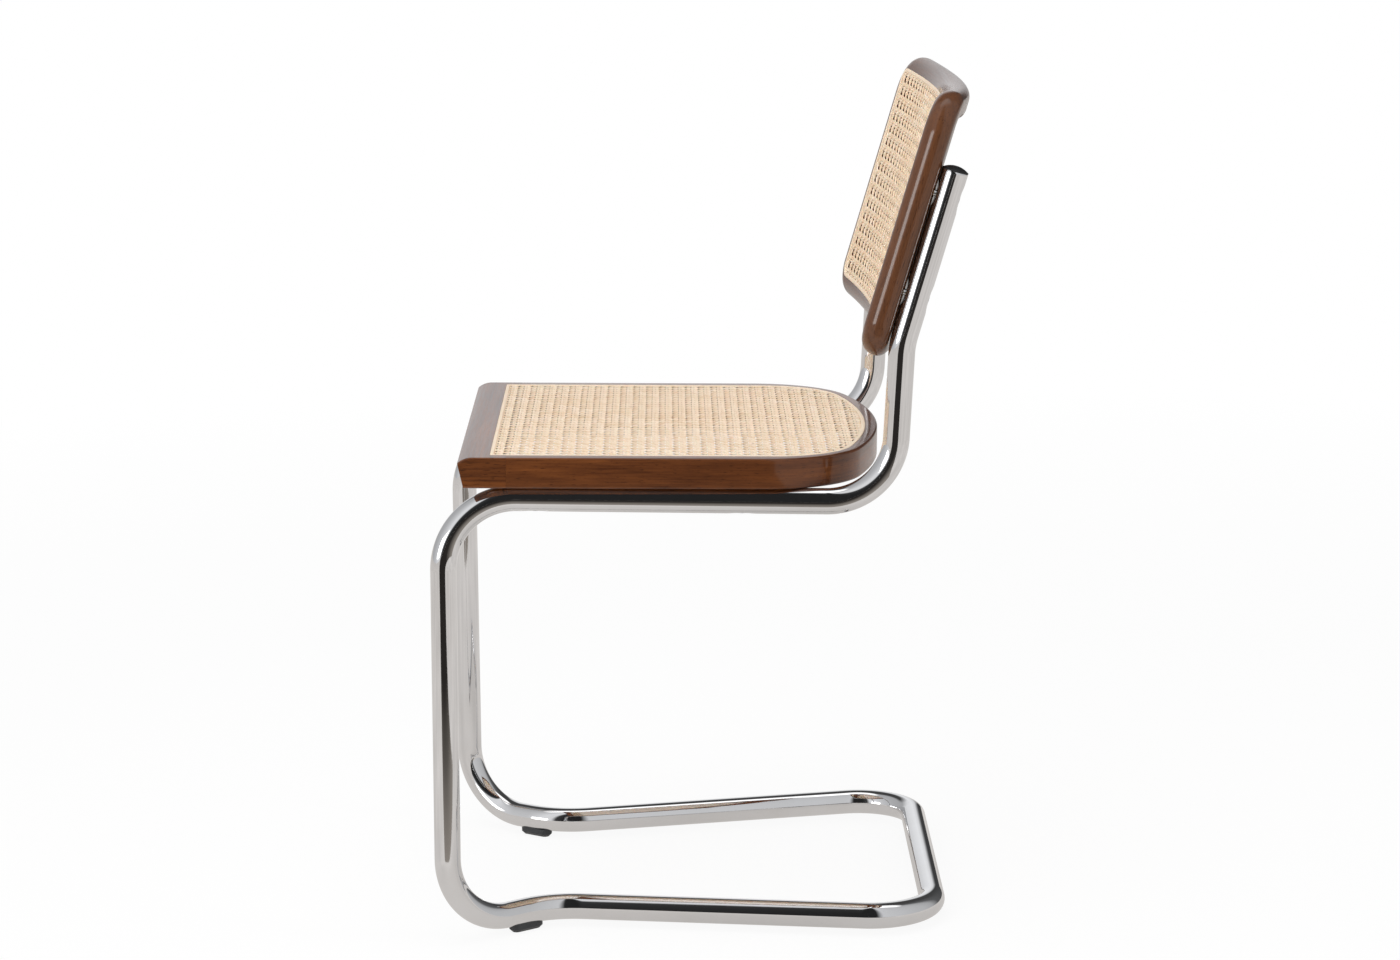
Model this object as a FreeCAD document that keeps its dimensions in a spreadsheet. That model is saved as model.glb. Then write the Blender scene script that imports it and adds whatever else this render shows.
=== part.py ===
import FreeCAD, Part
import math
import os
import Sketcher
from FreeCAD import Placement, Rotation, Vector

# A cantilever dining chair: one bent tube, a wood seat and a wood back, both caned.
# Front faces -Y, the sitter's left is +X, the floor is Z = 0.

OUT_FOLDER = "parts"

# Driving dimensions in mm and degrees. Everything else is worked out from them.
DIMENSIONS = {
    # tube
    "tube_od": 25,
    "tube_wall": 2,
    "back_lean": 17.38,
    "upright_length": 168.5,
    "kink_half_width": 214.7,
    "kink_depth": 183.2,
    "kink_height": 575.6,
    "kink_bend": 82,
    "seat_bend_half_width": 211,
    "seat_bend_depth": 172.9,
    "seat_bend_height": 424.6,
    "seat_bend": 65,
    "front_bend_half_width": 195.4,
    "front_bend_depth": -250.9,
    "front_bend_height": 434.4,
    "front_bend": 69.5,
    "foot_bend_half_width": 218.5,
    "foot_bend_depth": -255.8,
    "foot_bend": 65,
    "runner_kink_half_width": 149.6,
    "runner_kink_depth": -160.4,
    "runner_kink_bend": 77,
    "rear_corner_half_width": 216.6,
    "rear_corner_depth": 211.7,
    "rear_corner_bend": 59,
    # glides
    "glide_height": 6,
    "glide_length": 36,
    "glide_width": 15,
    "glide_wrap": 2.5,
    "glide_chamfer": 3,
    "glide_peg_radius": 3,
    "glide_peg_length": 7,
    "glide_peg_root": 2,
    "front_glide_depth": -184,
    "rear_glide_half_spacing": 130,
    # end caps
    "cap_dome": 4,
    "cap_rim": 0.6,
    "cap_stem": 16,
    # fasteners
    "screw_shank": 6,
    "screw_head": 11,
    "screw_head_height": 2.5,
    "screw_length": 37,
    "screw_clearance": 0.3,
    "drive_across": 4,
    "drive_depth": 2,
    "insert_od": 9,
    "insert_bore": 6.1,
    "insert_length": 13,
    "insert_recess": 1,
    "insert_hole_depth": 18,
    "dimple_radius": 40,
    "dimple_depth": 1.2,
    "seat_screw_front": -163,
    "seat_screw_rear": 32,
    "back_screw_low": 47,
    "back_screw_high": 143.6,
    "seating_gap": 0.05,
    # seat
    "seat_thickness": 29.3,
    "seat_half_width": 218.6,
    "seat_front": -235.4,
    "seat_rear": 168.9,
    "seat_rear_arc": 505,
    "seat_corner": 98.5,
    "nose_drop": 5.3,
    "nose_run": 13.9,
    "nose_undercut": 5.6,
    "seat_edge_round": 2.5,
    "seat_side_border": 15.4,
    "seat_front_border": 29.7,
    "seat_rear_border": 11.9,
    "seat_cane_rear_arc": 555,
    "seat_cane_corner": 78,
    "seat_lip_width": 11.5,
    # back
    "back_thickness": 26.5,
    "back_rear_arc": 1055,
    "back_half_width": 227,
    "back_bottom": -20.5,
    "back_top": 236.8,
    "back_top_corner": 40,
    "back_bottom_corner": 34,
    "back_front_round": 14.5,
    "back_rear_round": 10.5,
    "back_side_border": 19,
    "back_bottom_border": 17.5,
    "back_top_border": 15.8,
    "back_cane_corner": 14,
    "back_lip_width": 5.5,
    "back_opening_corner": 6,
    "back_opening_round": 6,
    # cane and its spline
    "spline_width": 4.4,
    "spline_proud": 0.6,
    "groove_depth": 6.5,
    "cane_thickness": 1.5,
    "cane_skirt": 0.8,
    "cane_cells_across": 12,
    "cane_hole": 16,
    # dowels in the rail joints
    "dowel_radius": 3,
    "dowel_length": 28,
    "dowel_gap": 0.5,
    "dowel_spacing": 12,
    "seat_dowel_drop": 1.5,
    "back_dowel_radius": 2.5,
    "back_dowel_length": 18,
    "back_dowel_spacing": 8,
    "back_dowel_inset": 2,
    # how far a cutting tool runs past the face that it cuts through
    "overshoot": 1,
}

doc = FreeCAD.newDocument("CantileverChair")
sheet = doc.addObject("Spreadsheet::Sheet", "Sizes")
for row, (alias, value) in enumerate(DIMENSIONS.items(), start=1):
    sheet.set("A%d" % row, alias.replace("_", " "))
    sheet.set("B%d" % row, str(value))
    sheet.setAlias("B%d" % row, alias)
doc.recompute()

X_AXIS = Vector(1, 0, 0)
Z_AXIS = Vector(0, 0, 1)
BIG = 1500
CLOSE = 1e-6
NONE = "0"
OVER = "Sizes.overshoot"

finished = []


def size(alias):
    return float(sheet.get(alias))


def bind(item, **expressions):
    """Ties properties of an object to expressions written with the sheet's names."""
    for name, expression in expressions.items():
        item.setExpression(name, expression)


def finish(item, label, placement=None):
    """Names a finished sub-part, moves it to its place and lists it for export."""
    item.Label = label
    if placement is not None:
        item.Placement = placement
    finished.append(item)
    return item


# Booleans and simple solids


def cut(name, base, tool):
    result = doc.addObject("Part::Cut", name)
    result.Base = base
    result.Tool = tool
    return result


def common(name, base, tool):
    result = doc.addObject("Part::Common", name)
    result.Base = base
    result.Tool = tool
    return result


def fuse(name, shapes):
    result = doc.addObject("Part::MultiFuse", name)
    result.Shapes = shapes
    return result


def gathered(name, members):
    """Separate solids kept together as one shape."""
    group = doc.addObject("Part::Compound", name)
    group.Links = members
    return group


def cylinder(name, radius, height, placement=None):
    rod = doc.addObject("Part::Cylinder", name)
    bind(rod, Radius=radius, Height=height)
    if placement is not None:
        rod.Placement = placement
    return rod


def half_space(name, low, high):
    """A box that keeps everything between two corners, given as plain numbers."""
    box = doc.addObject("Part::Box", name)
    box.Length = high.x - low.x
    box.Width = high.y - low.y
    box.Height = high.z - low.z
    box.Placement.Base = low
    return box


def along(direction):
    return Rotation(Z_AXIS, direction)


# Sketches


def constrain(sketch, kind, *args, expression=None):
    """Adds one constraint, and ties its value to the sheet where it has one."""
    index = sketch.addConstraint(Sketcher.Constraint(kind, *args))
    if expression is not None:
        sketch.setExpression("Constraints[%d]" % index, expression)
    return index


def number(expression):
    """The present value of an expression of sheet names."""
    result = sheet.evalExpression(expression.replace("Sizes.", ""))
    return float(getattr(result, "Value", result))


def corner_chain(sketch, corners):
    """Draws a closed chain of lines with a round corner at each point (x, y, radius)."""
    points = [Vector(x, y, 0) for x, y, _ in corners]
    starts = []
    ends = []
    centres = []
    for i, corner in enumerate(points):
        radius = corners[i][2]
        to_last = (points[i - 1] - corner).normalize()
        to_next = (points[(i + 1) % len(points)] - corner).normalize()
        half = to_last.getAngle(to_next) / 2
        starts.append(corner + to_last * (radius / math.tan(half)))
        ends.append(corner + to_next * (radius / math.tan(half)))
        middle = (to_last + to_next).normalize()
        centres.append(corner + middle * (radius / math.sin(half)))
    arcs = []
    lines = []
    for i in range(len(points)):
        middle = points[i] - centres[i]
        middle = centres[i] + middle.normalize() * corners[i][2]
        arcs.append(sketch.addGeometry(Part.Arc(starts[i], middle, ends[i])))
        following = (i + 1) % len(points)
        lines.append(sketch.addGeometry(Part.LineSegment(ends[i], starts[following])))
    return arcs, lines


def rounded_rectangle(name, half_width, low, high, radius):
    """A sketch of a rectangle about the vertical axis with round corners."""
    sketch = doc.addObject("Sketcher::SketchObject", name)
    width, bottom, top = number(half_width), number(low), number(high)
    turn = number(radius)
    corners = [(-width, bottom, turn), (width, bottom, turn), (width, top, turn), (-width, top, turn)]
    arcs, lines = corner_chain(sketch, corners)
    for i in range(4):
        constrain(sketch, "Tangent", arcs[i], arc_exit(sketch, arcs[i], lines[i]), lines[i], 1)
        follower = arcs[(i + 1) % 4]
        constrain(sketch, "Tangent", lines[i], 2, follower, arc_entry(sketch, follower, lines[i]))
    constrain(sketch, "Horizontal", lines[0])
    constrain(sketch, "Vertical", lines[1])
    constrain(sketch, "Horizontal", lines[2])
    constrain(sketch, "Vertical", lines[3])
    for arc in arcs[1:]:
        constrain(sketch, "Equal", arcs[0], arc)
    constrain(sketch, "Radius", arcs[0], turn, expression=radius)
    constrain(sketch, "DistanceX", -1, 1, lines[1], 1, width, expression=half_width)
    constrain(sketch, "DistanceX", lines[3], 1, -1, 1, width, expression=half_width)
    signed_y(sketch, lines[0], bottom, low)
    signed_y(sketch, lines[2], top, high)
    return sketch


def arc_exit(sketch, arc, line):
    """Which end of the arc touches the start of the line."""
    place = sketch.Geometry[line].StartPoint
    return 1 if sketch.Geometry[arc].StartPoint.distanceToPoint(place) < CLOSE else 2


def arc_entry(sketch, arc, line):
    """Which end of the arc touches the end of the line."""
    place = sketch.Geometry[line].EndPoint
    return 1 if sketch.Geometry[arc].StartPoint.distanceToPoint(place) < CLOSE else 2


def signed_y(sketch, line, value, expression):
    """Holds a level line at a height that may be below the origin."""
    if value < 0:
        constrain(sketch, "DistanceY", line, 1, -1, 1, -value, expression="-(%s)" % expression)
    else:
        constrain(sketch, "DistanceY", -1, 1, line, 1, value, expression=expression)


def seat_outline(name, half_width, front, rear, rear_arc, corner):
    """A sketch with a straight front and sides, round rear corners and a bowed rear."""
    sketch = doc.addObject("Sketcher::SketchObject", name)
    width, fore, aft = number(half_width), number(front), number(rear)
    bow, turn = number(rear_arc), number(corner)
    bow_centre = aft - bow
    turn_x = width - turn
    turn_y = bow_centre + math.sqrt((bow - turn) ** 2 - turn_x**2)
    reach = Vector(turn_x, turn_y - bow_centre, 0).normalize()
    meet = Vector(reach.x * bow, bow_centre + reach.y * bow, 0)
    elbow = Vector(turn_x, turn_y, 0) + (Vector(1, 0, 0) + reach).normalize() * turn

    def mirrored(point):
        return Vector(-point.x, point.y, 0)

    side = Vector(width, turn_y, 0)
    nose = Vector(width, fore, 0)
    front_line = sketch.addGeometry(Part.LineSegment(mirrored(nose), nose))
    left_line = sketch.addGeometry(Part.LineSegment(nose, side))
    left_arc = sketch.addGeometry(Part.Arc(side, elbow, meet))
    rear_line = sketch.addGeometry(Part.Arc(meet, Vector(0, aft, 0), mirrored(meet)))
    right_arc = sketch.addGeometry(Part.Arc(mirrored(meet), mirrored(elbow), mirrored(side)))
    right_line = sketch.addGeometry(Part.LineSegment(mirrored(side), mirrored(nose)))
    constrain(sketch, "Coincident", front_line, 2, left_line, 1)
    constrain(sketch, "Tangent", left_line, 2, left_arc, 1)
    constrain(sketch, "Tangent", left_arc, 2, rear_line, 1)
    constrain(sketch, "Tangent", rear_line, 2, right_arc, 1)
    constrain(sketch, "Tangent", right_arc, 2, right_line, 1)
    constrain(sketch, "Coincident", right_line, 2, front_line, 1)
    constrain(sketch, "Horizontal", front_line)
    constrain(sketch, "Vertical", left_line)
    constrain(sketch, "Vertical", right_line)
    constrain(sketch, "DistanceX", -1, 1, left_line, 1, width, expression=half_width)
    constrain(sketch, "DistanceX", right_line, 2, -1, 1, width, expression=half_width)
    signed_y(sketch, front_line, fore, front)
    constrain(sketch, "Equal", left_arc, right_arc)
    constrain(sketch, "Radius", left_arc, turn, expression=corner)
    constrain(sketch, "Radius", rear_line, bow, expression=rear_arc)
    constrain(sketch, "PointOnObject", rear_line, 3, -2)
    drop = "%s - (%s)" % (rear_arc, rear)
    constrain(sketch, "DistanceY", rear_line, 3, -1, 1, bow - aft, expression=drop)
    return sketch


def prism(name, sketch, direction, start, length):
    """A solid made by pushing a sketch along one direction, from start for length."""
    push = doc.addObject("Part::Extrusion", name)
    push.Base = sketch
    push.DirMode = "Custom"
    push.Dir = direction
    push.Solid = True
    bind(push, LengthFwd="%s + %s" % (start, length), LengthRev="-(%s)" % start)
    return push


# The tube


def path_points():
    """Corner points of the tube's centre line on the sitter's left, from top to rear."""
    lean = math.radians(size("back_lean"))
    floor = size("glide_height") + size("tube_od") / 2
    kink = Vector(size("kink_half_width"), size("kink_depth"), size("kink_height"))
    top = kink + Vector(0, math.sin(lean), math.cos(lean)) * size("upright_length")

    def corner(name, height):
        return Vector(size(name + "_half_width"), size(name + "_depth"), height)

    return [
        top,
        kink,
        corner("seat_bend", size("seat_bend_height")),
        corner("front_bend", size("front_bend_height")),
        corner("foot_bend", floor),
        corner("runner_kink", floor),
        corner("rear_corner", floor),
    ]


def path_bends():
    names = ["kink_bend", "seat_bend", "front_bend", "foot_bend", "runner_kink_bend", "rear_corner_bend"]
    return [size(name) for name in names]


def rounded_path(points, radii):
    """A wire of straight runs joined by round bends at the inner points."""
    edges = []
    start = points[0]
    for before, corner, after, radius in zip(points, points[1:], points[2:], radii):
        back = (before - corner).normalize()
        ahead = (after - corner).normalize()
        half = back.getAngle(ahead) / 2
        first = corner + back * (radius / math.tan(half))
        last = corner + ahead * (radius / math.tan(half))
        inward = (back + ahead).normalize()
        middle = corner + inward * (radius / math.sin(half) - radius)
        edges.append(Part.LineSegment(start, first).toShape())
        edges.append(Part.Arc(first, middle, last).toShape())
        start = last
    edges.append(Part.LineSegment(start, points[-1]).toShape())
    return Part.Wire(edges)


left_points = path_points()
left_bends = path_bends()
right_points = [Vector(-point.x, point.y, point.z) for point in reversed(left_points)]
tube_path = doc.addObject("Part::Feature", "tube_path")
tube_path.Shape = rounded_path(left_points + right_points, left_bends + left_bends[::-1])

TOP, KINK, SEAT_BEND, FRONT_BEND, FOOT_BEND, RUNNER_KINK, REAR_CORNER = left_points
UP = (TOP - KINK).normalize()


def swept_rod(name, radius):
    """A round rod that follows the whole path of the tube."""
    ring = doc.addObject("Part::Circle", name + "_ring")
    bind(ring, Radius=radius)
    ring.Placement = Placement(TOP, along(UP * -1))
    rod = doc.addObject("Part::Sweep", name)
    rod.Sections = [ring]
    rod.Spine = (tube_path, ["Edge%d" % (i + 1) for i in range(len(tube_path.Shape.Edges))])
    rod.Solid = True
    return rod


tube_outside = swept_rod("tube_outside", "Sizes.tube_od / 2")
tube_inside = swept_rod("tube_inside", "Sizes.tube_od / 2 - Sizes.tube_wall")

# Frames of the seat and of the back. The seat lies on the tube tops, the back on the
# tube fronts, and both follow the slope of the tube that carries them.

seat_slope = math.atan2(FRONT_BEND.z - SEAT_BEND.z, SEAT_BEND.y - FRONT_BEND.y)
seat_level = SEAT_BEND.z + SEAT_BEND.y * math.tan(seat_slope)
seat_level += (size("tube_od") / 2 + size("seating_gap")) / math.cos(seat_slope)
seat_place = Placement(Vector(0, 0, seat_level), Rotation(X_AXIS, -math.degrees(seat_slope)))
back_place = Placement(Vector(0, KINK.y, KINK.z), Rotation(X_AXIS, -size("back_lean")))


def tube_half_width(depth):
    """Half distance between the tubes under the seat, at one depth."""
    share = (depth - FRONT_BEND.y) / (SEAT_BEND.y - FRONT_BEND.y)
    return FRONT_BEND.x + (SEAT_BEND.x - FRONT_BEND.x) * share


def fastener_places():
    """Where each screw crosses the tube: frame of the crossing, head first, point last."""
    places = {}
    for side, sign in (("left", 1), ("right", -1)):
        for spot in ("front", "rear"):
            depth = size("seat_screw_" + spot)
            level = SEAT_BEND.z + (SEAT_BEND.y - depth) * math.tan(seat_slope)
            centre = Vector(sign * tube_half_width(depth), depth, level)
            places["seat", spot, side] = Placement(centre, seat_place.Rotation)
        for spot in ("low", "high"):
            centre = KINK + UP * size("back_screw_" + spot)
            centre.x *= sign
            turn = Rotation(X_AXIS, 90 - size("back_lean"))
            places["back", spot, side] = Placement(centre, turn)
    return places


SCREWS = fastener_places()


def offset_place(place, distance):
    """The same frame moved along its own Z."""
    return place.multiply(Placement(Vector(0, 0, distance), Rotation()))


def dimple(name, place, sign):
    """A ball that presses a shallow dimple in the tube wall below or above the axis."""
    ball = doc.addObject("Part::Sphere", name)
    bind(ball, Radius="Sizes.dimple_radius")
    reach = size("tube_od") / 2 - size("dimple_depth") + size("dimple_radius")
    ball.Placement = offset_place(place, sign * reach)
    return ball


def head_seat(name, place, slack):
    """The cone of a screw head, level with the bottom of its dimple."""
    cone = doc.addObject("Part::Cone", name)
    radius = "Sizes.screw_head / 2 + %s" % slack
    bind(cone, Radius1=radius, Radius2="Sizes.screw_shank / 2 + %s" % slack)
    bind(cone, Height="Sizes.screw_head_height")
    cone.Placement = offset_place(place, size("dimple_depth") - size("tube_od") / 2)
    return cone


def hollow_tools():
    """Everything that is taken out of the tube apart from its bore."""
    tools = []
    for (group, spot, side), place in SCREWS.items():
        tag = "%s_%s_%s" % (group, spot, side)
        tools.append(dimple("dimple_out_" + tag, place, -1))
        if group == "back":
            tools.append(dimple("dimple_in_" + tag, place, 1))
        low = offset_place(place, -size("tube_od"))
        hole = "Sizes.screw_shank / 2 + Sizes.screw_clearance"
        tools.append(cylinder("tube_hole_" + tag, hole, "2 * Sizes.tube_od", low))
        tools.append(head_seat("tube_sink_" + tag, place, "Sizes.screw_clearance"))
    return tools


# Glides

floor_level = size("glide_height")


def glide_places():
    """Middle of each glide on the floor, turned to follow the tube above it."""
    run = RUNNER_KINK - FOOT_BEND
    share = (size("front_glide_depth") - FOOT_BEND.y) / run.y
    middle = FOOT_BEND + run * share
    turn = math.degrees(math.atan2(run.y, run.x))
    rear = size("rear_glide_half_spacing")
    places = {}
    for side, sign in (("left", 1), ("right", -1)):
        angle = turn if sign > 0 else 180 - turn
        front_spot = Vector(sign * middle.x, middle.y, 0)
        rear_spot = Vector(sign * rear, REAR_CORNER.y, 0)
        places["front", side] = Placement(front_spot, Rotation(Z_AXIS, angle))
        places["rear", side] = Placement(rear_spot, Rotation(Z_AXIS, 0))
    return places


GLIDES = glide_places()


def glide_block(name):
    """The foot of a glide: a long pad with rounded ends and a chamfered sole."""
    body = doc.addObject("PartDesign::Body", name + "_body")
    sketch = body.newObject("Sketcher::SketchObject", name + "_plan")
    plane = next(f for f in body.Origin.OriginFeatures if f.Role == "XY_Plane")
    sketch.AttachmentSupport = (plane, "")
    sketch.MapMode = "FlatFace"
    half_length = size("glide_length") / 2
    half_width = size("glide_width") / 2
    straight = half_length - half_width
    right = Vector(straight, 0, 0)
    left = Vector(-straight, 0, 0)
    low, high = Vector(0, -half_width, 0), Vector(0, half_width, 0)
    bottom = sketch.addGeometry(Part.LineSegment(left + low, right + low))
    end = Vector(half_length, 0, 0)
    right_arc = sketch.addGeometry(Part.Arc(right + low, end, right + high))
    top = sketch.addGeometry(Part.LineSegment(right + high, left + high))
    left_arc = sketch.addGeometry(Part.Arc(left + high, end * -1, left + low))
    constrain(sketch, "Tangent", bottom, 2, right_arc, 1)
    constrain(sketch, "Tangent", right_arc, 2, top, 1)
    constrain(sketch, "Tangent", top, 2, left_arc, 1)
    constrain(sketch, "Tangent", left_arc, 2, bottom, 1)
    constrain(sketch, "Horizontal", bottom)
    constrain(sketch, "Equal", left_arc, right_arc)
    constrain(sketch, "Symmetric", left_arc, 3, right_arc, 3, -1, 1)
    constrain(sketch, "Radius", right_arc, half_width, expression="Sizes.glide_width / 2")
    span = "Sizes.glide_length - Sizes.glide_width"
    constrain(sketch, "DistanceX", left_arc, 3, right_arc, 3, 2 * straight, expression=span)
    pad = body.newObject("PartDesign::Pad", name + "_pad")
    pad.Profile = sketch
    bind(pad, Length="Sizes.glide_height + Sizes.glide_wrap")
    doc.recompute()
    chamfer = body.newObject("PartDesign::Chamfer", name + "_sole")
    chamfer.Base = (pad, edge_names(pad.Shape, lambda box: box.ZMax < CLOSE))
    bind(chamfer, Size="Sizes.glide_chamfer")
    body.Tip = chamfer
    return body


def edge_names(shape, test):
    """Names of the edges whose bounding box passes a test."""
    return ["Edge%d" % (i + 1) for i, edge in enumerate(shape.Edges) if test(edge.BoundBox)]


def make_glide(end, side):
    place = GLIDES[end, side]
    name = "%s_%s_glide" % (end, side)
    body = glide_block(name)
    body.Placement = place
    saddle = cut(name + "_saddle", body, tube_outside)
    peg = cylinder(name + "_peg", "Sizes.glide_peg_radius", "Sizes.glide_peg_length")
    peg.Placement = offset_place(place, floor_level - size("glide_peg_root"))
    return finish(fuse(name + "_whole", [saddle, peg]), name)


def peg_holes():
    """Holes in the underside of the tube that the glide pegs push into."""
    tools = []
    for (end, side), place in GLIDES.items():
        hole = cylinder("peg_hole_%s_%s" % (end, side), "Sizes.glide_peg_radius", "Sizes.tube_od / 2")
        hole.Placement = offset_place(place, floor_level - size("overshoot"))
        tools.append(hole)
    return tools


tube_tools = fuse("tube_tools", [tube_inside] + hollow_tools() + peg_holes())
finish(cut("tube", tube_outside, tube_tools), "tube_frame")
for end in ("front", "rear"):
    for side in ("left", "right"):
        make_glide(end, side)


# End caps


def make_cap(side, sign):
    """A domed plug: a stem in the bore, a thin rim on the tube's end and a low dome."""
    body = doc.addObject("PartDesign::Body", "cap_" + side)
    sketch = body.newObject("Sketcher::SketchObject", "cap_profile_" + side)
    plane = next(f for f in body.Origin.OriginFeatures if f.Role == "XZ_Plane")
    sketch.AttachmentSupport = (plane, "")
    sketch.MapMode = "FlatFace"
    radius = size("tube_od") / 2
    bore = radius - size("tube_wall")
    stem, rim, dome = size("cap_stem"), size("cap_rim"), size("cap_dome")
    ball = (radius**2 + dome**2) / (2 * dome)
    share = math.asin(radius / ball) / 2
    crown = Vector(ball * math.sin(share), rim + dome - ball + ball * math.cos(share), 0)
    corners = [
        Vector(0, -stem, 0),
        Vector(bore, -stem, 0),
        Vector(bore, 0, 0),
        Vector(radius, 0, 0),
        Vector(radius, rim, 0),
        Vector(0, rim + dome, 0),
    ]
    lines = [
        sketch.addGeometry(Part.LineSegment(corners[i], corners[i + 1]))
        for i in range(4)
    ]
    arc = sketch.addGeometry(Part.Arc(corners[4], crown, corners[5]))
    axis = sketch.addGeometry(Part.LineSegment(corners[5], corners[0]))
    for i in range(3):
        constrain(sketch, "Coincident", lines[i], 2, lines[i + 1], 1)
    constrain(sketch, "Coincident", lines[3], 2, arc, 1)
    constrain(sketch, "Coincident", arc, 2, axis, 1)
    constrain(sketch, "Coincident", axis, 2, lines[0], 1)
    constrain(sketch, "Horizontal", lines[0])
    constrain(sketch, "Vertical", lines[1])
    constrain(sketch, "Horizontal", lines[2])
    constrain(sketch, "Vertical", lines[3])
    constrain(sketch, "PointOnObject", axis, 1, -2)
    constrain(sketch, "PointOnObject", axis, 2, -2)
    constrain(sketch, "PointOnObject", arc, 3, -2)
    bore_size = "Sizes.tube_od / 2 - Sizes.tube_wall"
    constrain(sketch, "PointOnObject", lines[2], 1, -1)
    constrain(sketch, "DistanceX", -1, 1, lines[1], 1, bore, expression=bore_size)
    constrain(sketch, "DistanceX", -1, 1, lines[3], 1, radius, expression="Sizes.tube_od / 2")
    constrain(sketch, "DistanceY", lines[0], 1, -1, 1, stem, expression="Sizes.cap_stem")
    constrain(sketch, "DistanceY", -1, 1, lines[3], 2, rim, expression="Sizes.cap_rim")
    height = "Sizes.cap_rim + Sizes.cap_dome"
    constrain(sketch, "DistanceY", -1, 1, arc, 2, rim + dome, expression=height)
    turn = body.newObject("PartDesign::Revolution", "cap_turn_" + side)
    turn.Profile = sketch
    turn.ReferenceAxis = (sketch, ["V_Axis"])
    turn.Angle = 360
    body.Tip = turn
    place = Placement(Vector(sign * TOP.x, TOP.y, TOP.z), along(UP))
    return finish(body, "end_cap_" + side, place)


make_cap("left", 1)
make_cap("right", -1)


# Screws and inserts


def make_screw(group, spot, side):
    """A countersunk machine screw with a hexagon socket, pointing along its frame."""
    place = SCREWS[group, spot, side]
    tag = "%s_%s_%s" % (group, spot, side)
    head = head_seat("head_" + tag, place, NONE)
    start = size("dimple_depth") - size("tube_od") / 2
    shank = cylinder("shank_" + tag, "Sizes.screw_shank / 2", "Sizes.screw_length")
    shank.Placement = offset_place(place, start)
    socket = doc.addObject("Part::Prism", "socket_" + tag)
    socket.Polygon = 6
    bind(socket, Circumradius="Sizes.drive_across / sqrt(3)")
    bind(socket, Height="Sizes.drive_depth + " + OVER)
    socket.Placement = offset_place(place, start - size("overshoot"))
    solid = fuse("screw_" + tag, [head, shank])
    return finish(cut("socket_cut_" + tag, solid, socket), "%s_screw_%s_%s" % (group, spot, side))


def insert_start():
    """Distance from the tube's axis to the outer end of a threaded insert."""
    return size("tube_od") / 2 + size("seating_gap") + size("insert_recess")


def make_insert(group, spot, side):
    tag = "%s_%s_%s" % (group, spot, side)
    place = offset_place(SCREWS[group, spot, side], insert_start())
    outside = cylinder("insert_outside_" + tag, "Sizes.insert_od / 2", "Sizes.insert_length", place)
    bore = cylinder("insert_bore_" + tag, "Sizes.insert_bore / 2", "Sizes.insert_length", place)
    return finish(cut("insert_" + tag, outside, bore), "%s_insert_%s_%s" % (group, spot, side))


for group, spot, side in SCREWS:
    make_screw(group, spot, side)
    make_insert(group, spot, side)


def insert_holes(group, local):
    """Blind holes for the inserts of one wood frame, in that frame's own coordinates."""
    tools = []
    for (owner, spot, side), place in SCREWS.items():
        if owner == group:
            name = "insert_hole_%s_%s_%s" % (group, spot, side)
            depth = "Sizes.insert_hole_depth + Sizes.seating_gap + " + OVER
            hole = cylinder(name, "Sizes.insert_od / 2", depth)
            start = offset_place(place, size("tube_od") / 2 - size("overshoot"))
            hole.Placement = local.inverse().multiply(start)
            tools.append(hole)
    return tools


# Seat, built flat in its own frame: Z = 0 is its underside

SEAT_CANE_WIDTH = "(Sizes.seat_half_width - Sizes.seat_side_border)"
SEAT_CANE_FRONT = "(Sizes.seat_front + Sizes.seat_front_border)"
SEAT_CANE_REAR = "(Sizes.seat_rear - Sizes.seat_rear_border)"


def seat_cane_sketch(name, inset):
    """The outline of the seat's cane, drawn in by an inset."""
    return seat_outline(
        name,
        SEAT_CANE_WIDTH + " - (%s)" % inset,
        SEAT_CANE_FRONT + " + (%s)" % inset,
        SEAT_CANE_REAR + " - (%s)" % inset,
        "Sizes.seat_cane_rear_arc - (%s)" % inset,
        "Sizes.seat_cane_corner - (%s)" % inset,
    )


def seat_blank():
    """The whole seat board with its nose shaped and its edges eased, before it is parted."""
    body = doc.addObject("PartDesign::Body", "seat_board")
    outline = seat_outline(
        "seat_plan",
        "Sizes.seat_half_width",
        "Sizes.seat_front",
        "Sizes.seat_rear",
        "Sizes.seat_rear_arc",
        "Sizes.seat_corner",
    )
    body.addObject(outline)
    plane = next(f for f in body.Origin.OriginFeatures if f.Role == "XY_Plane")
    outline.AttachmentSupport = (plane, "")
    outline.MapMode = "FlatFace"
    pad = body.newObject("PartDesign::Pad", "seat_pad")
    pad.Profile = outline
    bind(pad, Length="Sizes.seat_thickness")
    body.Tip = pad
    doc.recompute()
    nose = nose_pocket(body)
    doc.recompute()
    top = size("seat_thickness")
    front = size("seat_front")
    start = front + size("nose_run")

    def long_edge(box):
        level = box.ZMin > top - CLOSE or box.ZMax < CLOSE
        return level and box.YMax > start + CLOSE

    round_edges = body.newObject("PartDesign::Fillet", "seat_edges")
    round_edges.Base = (nose, edge_names(nose.Shape, long_edge))
    bind(round_edges, Radius="Sizes.seat_edge_round")
    body.Tip = round_edges
    doc.recompute()
    return body


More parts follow.
